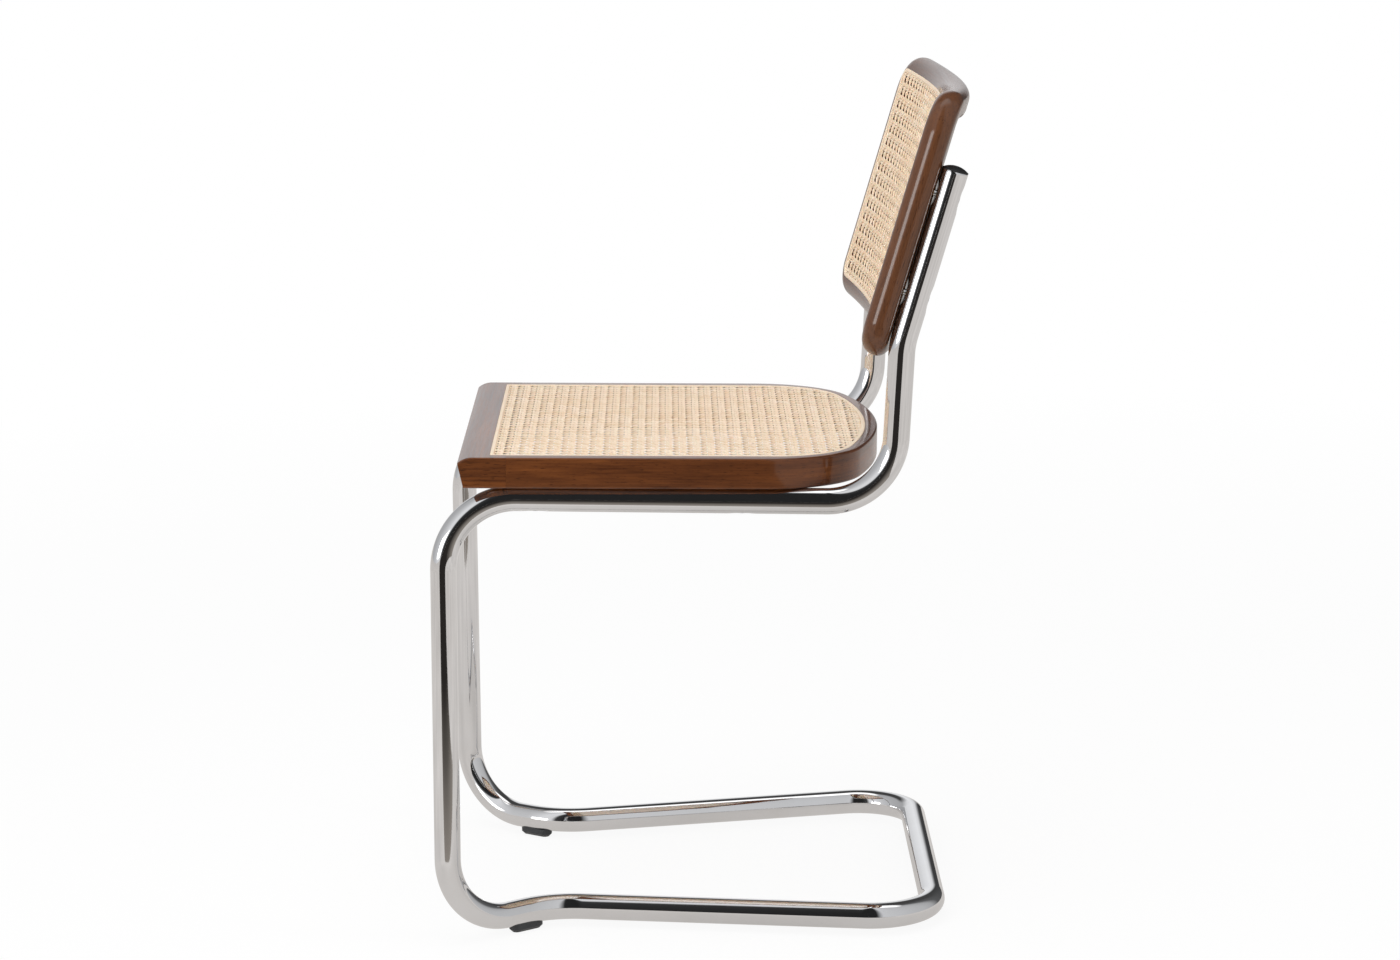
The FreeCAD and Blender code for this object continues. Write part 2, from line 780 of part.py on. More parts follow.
def nose_pocket(body):
    """Takes away the wood in front of the nose: a rounded top, a tip and an undercut."""
    sketch = body.newObject("Sketcher::SketchObject", "nose_profile")
    plane = next(f for f in body.Origin.OriginFeatures if f.Role == "YZ_Plane")
    sketch.AttachmentSupport = (plane, "")
    sketch.MapMode = "FlatFace"
    top = size("seat_thickness")
    front = size("seat_front")
    run, drop, under = size("nose_run"), size("nose_drop"), size("nose_undercut")
    radius = (run**2 + drop**2) / (2 * drop)
    start = Vector(front + run, top, 0)
    tip = Vector(front, top - drop, 0)
    foot = Vector(front + under, 0, 0)
    centre = Vector(front + run, top - radius, 0)
    middle = centre + ((start - centre) + (tip - centre)).normalize() * radius
    low = Vector(front - top, 0, 0)
    high = Vector(front - top, top, 0)
    arc = sketch.addGeometry(Part.Arc(start, middle, tip))
    slope = sketch.addGeometry(Part.LineSegment(tip, foot))
    bottom = sketch.addGeometry(Part.LineSegment(foot, low))
    rear = sketch.addGeometry(Part.LineSegment(low, high))
    ceiling = sketch.addGeometry(Part.LineSegment(high, start))
    constrain(sketch, "Coincident", arc, 2, slope, 1)
    constrain(sketch, "Coincident", slope, 2, bottom, 1)
    constrain(sketch, "Coincident", bottom, 2, rear, 1)
    constrain(sketch, "Coincident", rear, 2, ceiling, 1)
    constrain(sketch, "Tangent", arc, 1, ceiling, 2)
    constrain(sketch, "Horizontal", bottom)
    constrain(sketch, "Vertical", rear)
    constrain(sketch, "Horizontal", ceiling)
    constrain(sketch, "PointOnObject", bottom, 1, -1)
    signed = "-(Sizes.seat_front)"
    constrain(sketch, "DistanceX", slope, 1, -1, 1, -front, expression=signed)
    constrain(sketch, "DistanceY", -1, 1, ceiling, 2, top, expression="Sizes.seat_thickness")
    constrain(sketch, "DistanceY", slope, 1, ceiling, 2, drop, expression="Sizes.nose_drop")
    constrain(sketch, "DistanceX", slope, 1, ceiling, 2, run, expression="Sizes.nose_run")
    constrain(sketch, "DistanceX", slope, 1, slope, 2, under, expression="Sizes.nose_undercut")
    constrain(sketch, "DistanceX", bottom, 2, slope, 1, top, expression="Sizes.seat_thickness")
    pocket = body.newObject("PartDesign::Pocket", "nose_cut")
    pocket.Profile = sketch
    pocket.Type = "ThroughAll"
    pocket.Midplane = True
    body.Tip = pocket
    return pocket


GROOVE = "Sizes.spline_width"
SKIRT = "(Sizes.spline_width - Sizes.cane_skirt)"
SEAT_OPENING = "(Sizes.spline_width + Sizes.seat_lip_width)"
BACK_OPENING = "(Sizes.spline_width + Sizes.back_lip_width)"

seat_board = seat_blank()
seat_outer = seat_cane_sketch("seat_groove_outer", NONE)
seat_inner = seat_cane_sketch("seat_groove_inner", GROOVE)
seat_skirt = seat_cane_sketch("seat_skirt_line", SKIRT)
seat_hole = seat_cane_sketch("seat_opening", SEAT_OPENING)

groove_floor = "(Sizes.seat_thickness - Sizes.groove_depth)"
lip_level = "(Sizes.seat_thickness - Sizes.cane_thickness)"
groove_ring = cut(
    "seat_groove_ring",
    prism("seat_groove_full", seat_outer, Z_AXIS, groove_floor, "Sizes.groove_depth + " + OVER),
    prism("seat_groove_core", seat_inner, Z_AXIS, groove_floor, "Sizes.groove_depth + 2 * " + OVER),
)
lip_drop = prism("seat_lip_drop", seat_inner, Z_AXIS, lip_level, "Sizes.cane_thickness + " + OVER)
opening = prism("seat_opening_cut", seat_hole, Z_AXIS, "-" + OVER, "Sizes.seat_thickness + 2 * " + OVER)

# The front rail is parted from the bent side rail where the cane's opening starts
seat_joint = number(SEAT_CANE_FRONT + " + " + SEAT_OPENING)


def seat_dowels():
    """Two dowels across each joint of the seat frame."""
    rods = {"left": [], "right": []}
    holes = []
    width = (size("seat_half_width") + number(SEAT_CANE_WIDTH + " - " + SEAT_OPENING)) / 2
    level = size("seat_thickness") / 2 - size("seat_dowel_drop")
    for side, sign in (("left", 1), ("right", -1)):
        for step in (-0.5, 0.5):
            x = sign * width + step * size("dowel_spacing")
            start = Vector(x, seat_joint - size("dowel_length") / 2, level)
            tag = "%s_%s" % (side, "in" if step < 0 else "out")
            turn = along(Vector(0, 1, 0))
            rod = cylinder("seat_dowel_" + tag, "Sizes.dowel_radius", "Sizes.dowel_length")
            rod.Placement = Placement(start, turn)
            hole_length = "Sizes.dowel_length + 2 * Sizes.dowel_gap"
            hole = cylinder("seat_dowel_hole_" + tag, "Sizes.dowel_radius", hole_length)
            hole.Placement = Placement(start - Vector(0, size("dowel_gap"), 0), turn)
            rods[side].append(rod)
            holes.append(hole)
    return rods, holes


seat_rods, seat_rod_holes = seat_dowels()
seat_tools = fuse(
    "seat_tools",
    [groove_ring, lip_drop, opening] + seat_rod_holes + insert_holes("seat", seat_place),
)
seat_ring = cut("seat_ring", seat_board, seat_tools)
front_zone = half_space("seat_front_zone", Vector(-BIG, -BIG, -BIG), Vector(BIG, seat_joint, BIG))
rear_zone = half_space("seat_rear_zone", Vector(-BIG, seat_joint, -BIG), Vector(BIG, BIG, BIG))
finish(common("seat_front", seat_ring, front_zone), "seat_front_rail", seat_place)
finish(common("seat_side", seat_ring, rear_zone), "seat_side_rail", seat_place)
for side in ("left", "right"):
    finish(gathered("seat_dowels_" + side, seat_rods[side]), "seat_dowels_" + side, seat_place)

skirt_height = "Sizes.groove_depth - Sizes.dowel_gap"
skirt_floor = "(Sizes.seat_thickness - Sizes.groove_depth + Sizes.dowel_gap)"


def cell_grid(half_width, low, high):
    """Middles of the square cells that fill a panel, evenly spread about its own middle."""
    across = int(size("cane_cells_across"))
    pitch = 2 * half_width / across
    rows = int((high - low) / pitch)
    middle = (low + high) / 2
    for i in range(across):
        for j in range(rows):
            yield (i + 0.5 - across / 2) * pitch, middle + (j + 0.5 - rows / 2) * pitch


def inside_seat(x, y, half_width, rear):
    """Whether a point lies inside the seat's opening."""
    inset = number(SEAT_OPENING)
    bow = size("seat_cane_rear_arc") - inset
    turn = size("seat_cane_corner") - inset
    bow_centre = rear - bow
    turn_x = half_width - turn
    turn_y = bow_centre + math.sqrt((bow - turn) ** 2 - turn_x**2)
    if abs(x) > turn_x and y > turn_y:
        return math.hypot(abs(x) - turn_x, y - turn_y) < turn
    return math.hypot(x, y - bow_centre) < bow


def seat_cane_holes():
    """Square holes through the seat's cane, wherever a whole one fits in the opening."""
    half_width = number(SEAT_CANE_WIDTH + " - " + SEAT_OPENING)
    rear = number(SEAT_CANE_REAR + " - " + SEAT_OPENING)
    half = size("cane_hole") / 2
    holes = []
    for x, y in cell_grid(half_width, seat_joint, rear):
        corners = [(x + half, y + half), (x - half, y + half)]
        if all(inside_seat(*corner, half_width, rear) for corner in corners):
            hole = doc.addObject("Part::Box", "seat_cane_hole_%d" % len(holes))
            bind(hole, Length="Sizes.cane_hole", Width="Sizes.cane_hole")
            bind(hole, Height="Sizes.cane_thickness + 2 * " + OVER)
            hole.Placement.Base = Vector(x - half, y - half, number(lip_level) - size("overshoot"))
            holes.append(hole)
    return holes


seat_sheet_full = prism("seat_cane_sheet_full", seat_inner, Z_AXIS, lip_level, "Sizes.cane_thickness")
seat_sheet = cut("seat_cane_sheet", seat_sheet_full, gathered("seat_cane_holes", seat_cane_holes()))
seat_skirt_ring = cut(
    "seat_cane_skirt",
    prism("seat_skirt_full", seat_skirt, Z_AXIS, skirt_floor, skirt_height),
    prism("seat_skirt_core", seat_inner, Z_AXIS, skirt_floor, skirt_height + " + " + OVER),
)
finish(fuse("seat_cane_whole", [seat_sheet, seat_skirt_ring]), "seat_cane", seat_place)
spline_height = "Sizes.groove_depth - Sizes.dowel_gap + Sizes.spline_proud"
seat_bead = cut(
    "seat_bead",
    prism("seat_bead_full", seat_outer, Z_AXIS, skirt_floor, spline_height),
    prism("seat_bead_core", seat_skirt, Z_AXIS, skirt_floor, spline_height + " + " + OVER),
)
finish(seat_bead, "seat_spline", seat_place)


# Back, built upright in its own frame: Z runs up the uprights, Y points to the rear


def back_axis_depth():
    """Y of the axis of the back's curve: its rear face just touches both tubes."""
    reach = size("back_rear_arc") + size("tube_od") / 2 + size("seating_gap")
    return -math.sqrt(reach**2 - size("kink_half_width") ** 2)


BACK_AXIS = back_axis_depth()
BACK_CANE_WIDTH = "(Sizes.back_half_width - Sizes.back_side_border)"
BACK_CANE_BOTTOM = "(Sizes.back_bottom + Sizes.back_bottom_border)"
BACK_CANE_TOP = "(Sizes.back_top - Sizes.back_top_border)"


def shell(name, outer, inner):
    """A slab between two cylinders about the back's axis, as tall as the back and more."""
    low = Placement(Vector(0, BACK_AXIS, -BIG / 2), Rotation())
    skin = cylinder(name + "_skin", outer, "%d" % BIG, low)
    core = cylinder(name + "_core", inner, "%d" % BIG, low)
    return cut(name, skin, core)


def back_blank():
    """The whole curved back board, rounded all round, before it is parted."""
    body = doc.addObject("PartDesign::Body", "back_board")
    plan = body.newObject("Sketcher::SketchObject", "back_plan")
    plane = next(f for f in body.Origin.OriginFeatures if f.Role == "XY_Plane")
    plan.AttachmentSupport = (plane, "")
    plan.MapMode = "FlatFace"
    bind(plan, **{"AttachmentOffset.Base.z": "Sizes.back_bottom"})
    width = size("back_half_width")
    rear = size("back_rear_arc")
    front = rear - size("back_thickness")
    rear_y = BACK_AXIS + math.sqrt(rear**2 - width**2)
    front_y = BACK_AXIS + math.sqrt(front**2 - width**2)
    left_rear, right_rear = Vector(width, rear_y, 0), Vector(-width, rear_y, 0)
    left_front, right_front = Vector(width, front_y, 0), Vector(-width, front_y, 0)
    rear_arc = plan.addGeometry(Part.Arc(left_rear, Vector(0, BACK_AXIS + rear, 0), right_rear))
    right_end = plan.addGeometry(Part.LineSegment(right_rear, right_front))
    front_arc = plan.addGeometry(Part.Arc(left_front, Vector(0, BACK_AXIS + front, 0), right_front))
    left_end = plan.addGeometry(Part.LineSegment(left_front, left_rear))
    constrain(plan, "Coincident", rear_arc, 2, right_end, 1)
    constrain(plan, "Coincident", right_end, 2, front_arc, 2)
    constrain(plan, "Coincident", front_arc, 1, left_end, 1)
    constrain(plan, "Coincident", left_end, 2, rear_arc, 1)
    constrain(plan, "Vertical", right_end)
    constrain(plan, "Vertical", left_end)
    constrain(plan, "Coincident", rear_arc, 3, front_arc, 3)
    constrain(plan, "PointOnObject", rear_arc, 3, -2)
    reach = "Sizes.back_rear_arc + Sizes.tube_od / 2 + Sizes.seating_gap"
    depth = "sqrt((%s) ^ 2 - Sizes.kink_half_width ^ 2)" % reach
    constrain(plan, "DistanceY", rear_arc, 3, -1, 1, -BACK_AXIS, expression=depth)
    constrain(plan, "Radius", rear_arc, rear, expression="Sizes.back_rear_arc")
    inner = "Sizes.back_rear_arc - Sizes.back_thickness"
    constrain(plan, "Radius", front_arc, front, expression=inner)
    constrain(plan, "DistanceX", -1, 1, left_end, 1, width, expression="Sizes.back_half_width")
    constrain(plan, "DistanceX", right_end, 1, -1, 1, width, expression="Sizes.back_half_width")
    pad = body.newObject("PartDesign::Pad", "back_pad")
    pad.Profile = plan
    bind(pad, Length="Sizes.back_top - Sizes.back_bottom")
    body.Tip = pad
    doc.recompute()

    def corner_edges(shape, level):
        def test(box):
            at_end = abs(box.XMin) > width - CLOSE and box.XLength < CLOSE
            return at_end and abs(box.ZMin - level) < CLOSE and box.ZLength < CLOSE

        return edge_names(shape, test)

    def rounded(name, base, edges, radius):
        fillet = body.newObject("PartDesign::Fillet", name)
        fillet.Base = (base, edges)
        bind(fillet, Radius=radius)
        body.Tip = fillet
        doc.recompute()
        return fillet

    high_edges = corner_edges(pad.Shape, size("back_top"))
    top = rounded("back_top_corners", pad, high_edges, "Sizes.back_top_corner")
    low_edges = corner_edges(top.Shape, size("back_bottom"))
    corners = rounded("back_bottom_corners", top, low_edges, "Sizes.back_bottom_corner")
    outer_rear = rim_edges(corners.Shape, rear)
    behind = rounded("back_rear_edges", corners, outer_rear, "Sizes.back_rear_round")
    outer_front = rim_edges(behind.Shape, front)
    rounded("back_front_edges", behind, outer_front, "Sizes.back_front_round")
    window = window_pocket(body)
    half_opening = number(BACK_CANE_WIDTH + " - " + BACK_OPENING)
    inner_rear = rim_edges(window.Shape, rear, half_opening)
    rounded("back_window_edges", window, inner_rear, "Sizes.back_opening_round")
    return body


def window_pocket(body):
    """Cuts the opening behind the cane right through the back board."""
    sketch = rounded_rectangle("back_window", *back_cane_edges(BACK_OPENING), "Sizes.back_opening_corner")
    body.addObject(sketch)
    plane = next(f for f in body.Origin.OriginFeatures if f.Role == "XZ_Plane")
    sketch.AttachmentSupport = (plane, "")
    sketch.MapMode = "FlatFace"
    pocket = body.newObject("PartDesign::Pocket", "back_window_cut")
    pocket.Profile = sketch
    pocket.Type = "ThroughAll"
    pocket.Midplane = True
    body.Tip = pocket
    doc.recompute()
    return pocket


def rim_edges(shape, radius, reach=None):
    """Names of the edges on one cylinder about the back's axis, within a reach of its middle."""
    names = []
    for i, edge in enumerate(shape.Edges):
        first, last = edge.ParameterRange
        inside = [edge.valueAt(first + (last - first) * share) for share in (0.1, 0.5, 0.9)]
        distances = [math.hypot(point.x, point.y - BACK_AXIS) for point in inside]
        on_rim = all(abs(distance - radius) < size("seating_gap") for distance in distances)
        in_reach = reach is None or all(abs(point.x) < reach + CLOSE for point in inside)
        low = number(BACK_CANE_BOTTOM)
        high = number(BACK_CANE_TOP)
        in_window = reach is None or all(low < point.z < high for point in inside)
        if on_rim and in_reach and in_window:
            names.append("Edge%d" % (i + 1))
    return names


def back_cane_edges(inset):
    """Half width, bottom and top of the back's cane, drawn in by an inset."""
    return (
        BACK_CANE_WIDTH + " - (%s)" % inset,
        BACK_CANE_BOTTOM + " + (%s)" % inset,
        BACK_CANE_TOP + " - (%s)" % inset,
    )


def back_cane_sketch(name, inset, corner):
    """The outline of the back's cane, drawn in by an inset, on the XZ plane."""
    sketch = rounded_rectangle(name, *back_cane_edges(inset), corner)
    sketch.Placement = Placement(Vector(0, 0, 0), Rotation(X_AXIS, 90))
    return sketch


back_board = back_blank()
back_outer = back_cane_sketch("back_groove_outer", NONE, "Sizes.back_cane_corner")
back_inner = back_cane_sketch("back_groove_inner", GROOVE, "Sizes.back_cane_corner - Sizes.spline_width")
back_skirt = back_cane_sketch("back_skirt_line", SKIRT, "Sizes.back_cane_corner - %s" % SKIRT)

FORWARD = Vector(0, -1, 0)
REACH_BACK = "-Sizes.back_half_width"
REACH_LENGTH = "2 * Sizes.back_half_width"


def back_prism(name, sketch):
    return prism(name, sketch, FORWARD, REACH_BACK, REACH_LENGTH)


BACK_FRONT = "(Sizes.back_rear_arc - Sizes.back_thickness)"
outer_prism = back_prism("back_outer_prism", back_outer)
inner_prism = back_prism("back_inner_prism", back_inner)
skirt_prism = back_prism("back_skirt_prism", back_skirt)
before_front = BACK_FRONT + " - " + OVER
groove_shell = shell("groove_shell", BACK_FRONT + " + Sizes.groove_depth", before_front)
lip_shell = shell("lip_shell", BACK_FRONT + " + Sizes.cane_thickness", before_front)
back_groove = common("back_groove", cut("back_groove_ring", outer_prism, inner_prism), groove_shell)
back_lip = common("back_lip", inner_prism, lip_shell)

stile_edge = number(BACK_CANE_WIDTH + " - " + BACK_OPENING)
back_middle = (size("back_bottom") + size("back_top")) / 2


def back_dowels():
    """Two dowels across each of the four joints between the rails and the stiles."""
    rods = {}
    holes = []
    radius = size("back_rear_arc") - size("back_thickness") / 2
    inset = size("back_dowel_inset")
    levels = {
        "top": (size("back_top") + number(BACK_CANE_TOP + " - " + BACK_OPENING)) / 2 - inset,
        "bottom": (size("back_bottom") + number(BACK_CANE_BOTTOM + " + " + BACK_OPENING)) / 2 + inset,
    }
    for level, height in levels.items():
        for side, sign in (("left", 1), ("right", -1)):
            angle = math.asin(stile_edge / radius)
            centre = Vector(sign * stile_edge, BACK_AXIS + radius * math.cos(angle), height)
            direction = Vector(math.cos(angle), -sign * math.sin(angle), 0)
            rods[level, side] = []
            for step in (-0.5, 0.5):
                spot = centre + Z_AXIS * (step * size("back_dowel_spacing"))
                tag = "%s_%s_%s" % (level, side, "low" if step < 0 else "high")
                start = spot - direction * (size("back_dowel_length") / 2)
                rod = cylinder("back_dowel_" + tag, "Sizes.back_dowel_radius", "Sizes.back_dowel_length")
                rod.Placement = Placement(start, along(direction))
                rods[level, side].append(rod)
                long = "Sizes.back_dowel_length + 2 * Sizes.dowel_gap"
                hole = cylinder("back_dowel_hole_" + tag, "Sizes.back_dowel_radius", long)
                hole.Placement = Placement(start - direction * size("dowel_gap"), along(direction))
                holes.append(hole)
    return rods, holes


back_rods, back_rod_holes = back_dowels()
back_tools = fuse(
    "back_tools",
    [back_groove, back_lip] + back_rod_holes + insert_holes("back", back_place),
)
back_ring = cut("back_ring", back_board, back_tools)
zones = {
    "back_left_stile": (Vector(stile_edge, -BIG, -BIG), Vector(BIG, BIG, BIG)),
    "back_right_stile": (Vector(-BIG, -BIG, -BIG), Vector(-stile_edge, BIG, BIG)),
    "back_top_rail": (Vector(-stile_edge, -BIG, back_middle), Vector(stile_edge, BIG, BIG)),
    "back_bottom_rail": (Vector(-stile_edge, -BIG, -BIG), Vector(stile_edge, BIG, back_middle)),
}
for label, (low, high) in zones.items():
    zone = half_space(label + "_zone", low, high)
    finish(common(label + "_solid", back_ring, zone), label, back_place)
for (level, side), rods in back_rods.items():
    name = "back_dowels_%s_%s" % (level, side)
    finish(gathered(name, rods), name, back_place)


sheet_shell = shell("cane_shell", BACK_FRONT + " + Sizes.cane_thickness", BACK_FRONT)
skirt_depth = BACK_FRONT + " + Sizes.groove_depth - Sizes.dowel_gap"
skirt_shell = shell("skirt_shell", skirt_depth, BACK_FRONT)
back_sheet = common("back_cane_sheet", inner_prism, sheet_shell)
back_skirt_ring = common("back_cane_skirt", cut("back_skirt_ring", skirt_prism, inner_prism), skirt_shell)
finish(fuse("back_cane_whole", [back_sheet, back_skirt_ring]), "back_cane", back_place)
bead_shell = shell("bead_shell", skirt_depth, BACK_FRONT + " - Sizes.spline_proud")
back_bead = common("back_bead", cut("back_bead_ring", outer_prism, skirt_prism), bead_shell)
finish(back_bead, "back_spline", back_place)

doc.recompute()


# Checks, centring and export


def check(item):
    """Stops the build where a sub-part didn't come out as sound solids."""
    states = set(item.State) & {"Invalid", "Error"}
    shape = item.Shape
    if states or shape.isNull() or not shape.isValid() or not shape.Solids:
        raise RuntimeError("%s is not a sound solid: %s" % (item.Label, sorted(item.State)))


for item in doc.Objects:
    if set(item.State) & {"Invalid", "Error"}:
        raise RuntimeError("%s failed: %s" % (item.Name, sorted(item.State)))
for item in finished:
    check(item)


def centre_on_floor():
    """Moves every sub-part so that the box round the chair is centred on the origin."""
    box = FreeCAD.BoundBox()
    for item in finished:
        box.add(item.Shape.optimalBoundingBox(False, False))
    shift = Vector(-box.Center.x, -box.Center.y, -box.ZMin)
    for item in finished:
        item.Placement = Placement(shift, Rotation()).multiply(item.Placement)
    doc.recompute()
    return box, shift


chair_box, chair_shift = centre_on_floor()
print("box", chair_box, "shift", chair_shift)
os.makedirs(OUT_FOLDER, exist_ok=True)
for item in finished:
    check(item)
    item.Shape.exportStep(os.path.join(OUT_FOLDER, item.Label + ".step"))
    print(item.Label, round(item.Shape.Volume, 1), len(item.Shape.Solids))
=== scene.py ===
import math

import bpy
import numpy as np
from bpy.props import FloatProperty, FloatVectorProperty, PointerProperty
from mathutils import Matrix, Vector


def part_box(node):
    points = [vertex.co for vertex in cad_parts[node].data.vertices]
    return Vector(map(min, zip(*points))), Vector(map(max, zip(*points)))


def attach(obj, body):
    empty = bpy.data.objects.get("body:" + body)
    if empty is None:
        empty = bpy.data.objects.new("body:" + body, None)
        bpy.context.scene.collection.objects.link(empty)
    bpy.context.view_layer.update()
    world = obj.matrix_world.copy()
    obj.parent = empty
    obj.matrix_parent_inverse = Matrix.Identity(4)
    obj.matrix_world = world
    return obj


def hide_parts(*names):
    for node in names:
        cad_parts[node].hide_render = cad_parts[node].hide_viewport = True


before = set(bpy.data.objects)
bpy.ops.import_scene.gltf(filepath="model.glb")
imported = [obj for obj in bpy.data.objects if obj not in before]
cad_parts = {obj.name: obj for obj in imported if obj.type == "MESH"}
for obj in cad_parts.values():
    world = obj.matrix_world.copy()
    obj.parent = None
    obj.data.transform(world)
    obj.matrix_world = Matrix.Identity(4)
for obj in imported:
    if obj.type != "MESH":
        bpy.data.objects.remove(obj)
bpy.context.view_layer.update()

bl_info = {
    "name": "Cantilever chair",
    "version": (1, 0, 0),
    "blender": (4, 5, 0),
    "location": "3D View > Sidebar > Chair",
    "description": "Dresses the chair's frame: bent chromed tube, stained wood and woven cane",
    "category": "Object",
}

ROOT = "root"

# Sizes and colours


def length(name, note, value):
    return FloatProperty(name=name, description=note, default=value, unit="LENGTH", precision=5)


def angle(name, note, degrees):
    return FloatProperty(name=name, description=note, default=math.radians(degrees), unit="ROTATION")


def place(name, note, x, y, z):
    return FloatVectorProperty(name=name, description=note, default=(x, y, z), size=3, unit="LENGTH")


def colour(name, note, red, green, blue):
    shade = (red, green, blue)
    return FloatVectorProperty(name=name, description=note, default=shade, size=3, subtype="COLOR")


class ChairTube(bpy.types.PropertyGroup):
    """Sizes of the bent tube. Corners are those of its centre line on the sitter's left."""

    radius: length("Tube radius", "Outside radius of the steel tube", 0.0125)
    wall: length("Tube wall", "Thickness of the steel", 0.002)
    lean: angle("Back lean", "Angle of the uprights from the vertical", 17.38)
    upright: length("Upright", "From the kink to the open end of the tube", 0.1685)
    kink: place("Kink", "Where the upright starts to lean back", 0.2147, 0.1832, 0.5756)
    kink_bend: length("Kink bend", "Bend radius at the kink", 0.082)
    seat_bend: place("Seat bend", "Where the seat tube turns up", 0.211, 0.1729, 0.4246)
    seat_turn: length("Seat turn", "Bend radius behind the seat", 0.065)
    front_bend: place("Front bend", "Where the seat tube turns down", 0.1954, -0.2509, 0.4344)
    front_turn: length("Front turn", "Bend radius in front of the seat", 0.0695)
    foot_bend: place("Foot bend", "Where the leg meets the floor run", 0.2185, -0.2558, 0.0185)
    foot_turn: length("Foot turn", "Bend radius at the foot", 0.065)
    runner_kink: place("Runner kink", "Where the floor run turns back", 0.1496, -0.1604, 0.0185)
    runner_turn: length("Runner turn", "Bend radius of the runner's kink", 0.077)
    rear_corner: place("Rear corner", "Corner of the floor loop", 0.2166, 0.2117, 0.0185)
    rear_turn: length("Rear turn", "Bend radius of the floor loop's corner", 0.059)
    press_depth: length("Pressing depth", "How far the wall is pressed in at a screw", 0.0013)
    press_flat: length("Pressing flat", "Radius of the flat floor of a pressing", 0.006)
    press_reach: length("Pressing reach", "Half length of a pressing along the tube", 0.0132)
    seat_screw_front: length("Front seat screw", "Depth of the front seat screws", -0.163)
    seat_screw_rear: length("Rear seat screw", "Depth of the rear seat screws", 0.032)
    back_screw_low: length("Low back screw", "Height up the upright", 0.047)
    back_screw_high: length("High back screw", "Height up the upright", 0.1436)
    seating_gap: length("Seating gap", "Clearance between wood and tube", 0.00005)


class ChairSeat(bpy.types.PropertyGroup):
    """Sizes of the seat frame in its own flat frame."""

    thickness: length("Seat thickness", "Height of the seat frame", 0.0293)
    half_width: length("Half width", "Half the seat's width", 0.2186)
    rear: length("Rear", "Depth of the rear edge", 0.1689)
    rear_arc: length("Rear arc", "Radius of the bowed rear edge", 0.505)
    corner: length("Corner", "Radius of the rear corners", 0.0985)
    edge_round: length("Edge round", "Rounding of the long edges", 0.0025)
    cane_half_width: length("Cane half width", "Half the width to the outside of the spline", 0.2032)
    cane_front: length("Cane front", "Depth of the spline at the front", -0.2057)
    cane_rear: length("Cane rear", "Depth of the spline at the rear", 0.157)
    cane_rear_arc: length("Cane rear arc", "Radius of the spline's bowed rear", 0.555)
    cane_corner: length("Cane corner", "Radius of the spline's rear corners", 0.078)


class ChairBack(bpy.types.PropertyGroup):
    """Sizes of the back in its own leaning frame."""

    thickness: length("Back thickness", "Thickness of the back frame", 0.0265)
    rear_arc: length("Rear arc", "Radius of the curved rear face", 1.055)
    cane_half_width: length("Cane half width", "Half the width to the outside of the spline", 0.208)
    cane_bottom: length("Cane bottom", "Lower edge of the spline", -0.003)
    cane_top: length("Cane top", "Upper edge of the spline", 0.221)
    cane_corner: length("Cane corner", "Radius of the spline's corners", 0.014)


class ChairWeave(bpy.types.PropertyGroup):
    """Sizes of the woven cane and of the spline that holds it."""

    pitch: length("Pitch", "Distance between pairs of strands", 0.0133)
    pair: length("Pair", "Distance between the two strands of a pair", 0.0026)
    straight_width: length("Straight width", "Width of the strands of the pairs", 0.0023)
    slant_width: length("Slant width", "Width of the slanting strands", 0.0024)
    strand: length("Strand thickness", "Thickness of one strand", 0.0007)
    sheet: length("Sheet", "Depth of the lip that carries the cane", 0.0015)
    spline_width: length("Spline width", "Width of the groove round the cane", 0.0044)
    spline_proud: length("Spline height", "How far the spline stands above the wood", 0.0006)
    skirt: length("Skirt", "Room for the tucked cane beside the spline", 0.0008)
    lip: length("Lip", "Width of wood inside the groove", 0.0115)


class ChairColours(bpy.types.PropertyGroup):
    """Colours of the finishes."""

    wood_dark: colour("Dark wood", "Dark fibres of the stained wood", 0.052, 0.014, 0.004)
    wood_light: colour("Light wood", "Light fibres of the stained wood", 0.190, 0.057, 0.012)
    wood_brown: colour("Wood brown", "Tone towards which the back's wood leans", 0.098, 0.046, 0.024)
    wood_pore: colour("Pores", "Stain gathered in the pores", 0.018, 0.005, 0.002)
    chrome: colour("Chrome", "Polished plate", 0.80, 0.80, 0.81)
    cane_pale: colour("Pale cane", "Lightest strands", 0.94, 0.80, 0.66)
    cane_warm: colour("Warm cane", "Darkest strands", 0.80, 0.61, 0.42)
    cane_node: colour("Cane nodes", "Marks across a strand", 0.42, 0.25, 0.12)
    reed: colour("Reed", "The spline", 0.86, 0.71, 0.55)
    plastic: colour("Plastic", "Glides", 0.028, 0.030, 0.033)
    cap: colour("Cap", "Plugs in the tube's ends", 0.008, 0.008, 0.009)
    beech: colour("Beech", "Dowels", 0.60, 0.40, 0.22)
    brass: colour("Brass", "Threaded inserts", 0.62, 0.44, 0.18)
    floor: colour("Floor", "The pale floor", 0.94, 0.94, 0.94)


def tube():
    return bpy.context.scene.chair_tube


def seat():
    return bpy.context.scene.chair_seat


def back():
    return bpy.context.scene.chair_back


def weave():
    return bpy.context.scene.chair_weave


def colours():
    return bpy.context.scene.chair_colours


# Frames that the pieces are built in


def centring():
    """How far the whole chair was moved in depth so that it stands centred."""
    low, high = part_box("rear_left_glide")
    return (low[1] + high[1]) / 2 - tube().rear_corner[1]


def seat_slope():
    fall = tube().front_bend[2] - tube().seat_bend[2]
    return math.atan2(fall, tube().seat_bend[1] - tube().front_bend[1])


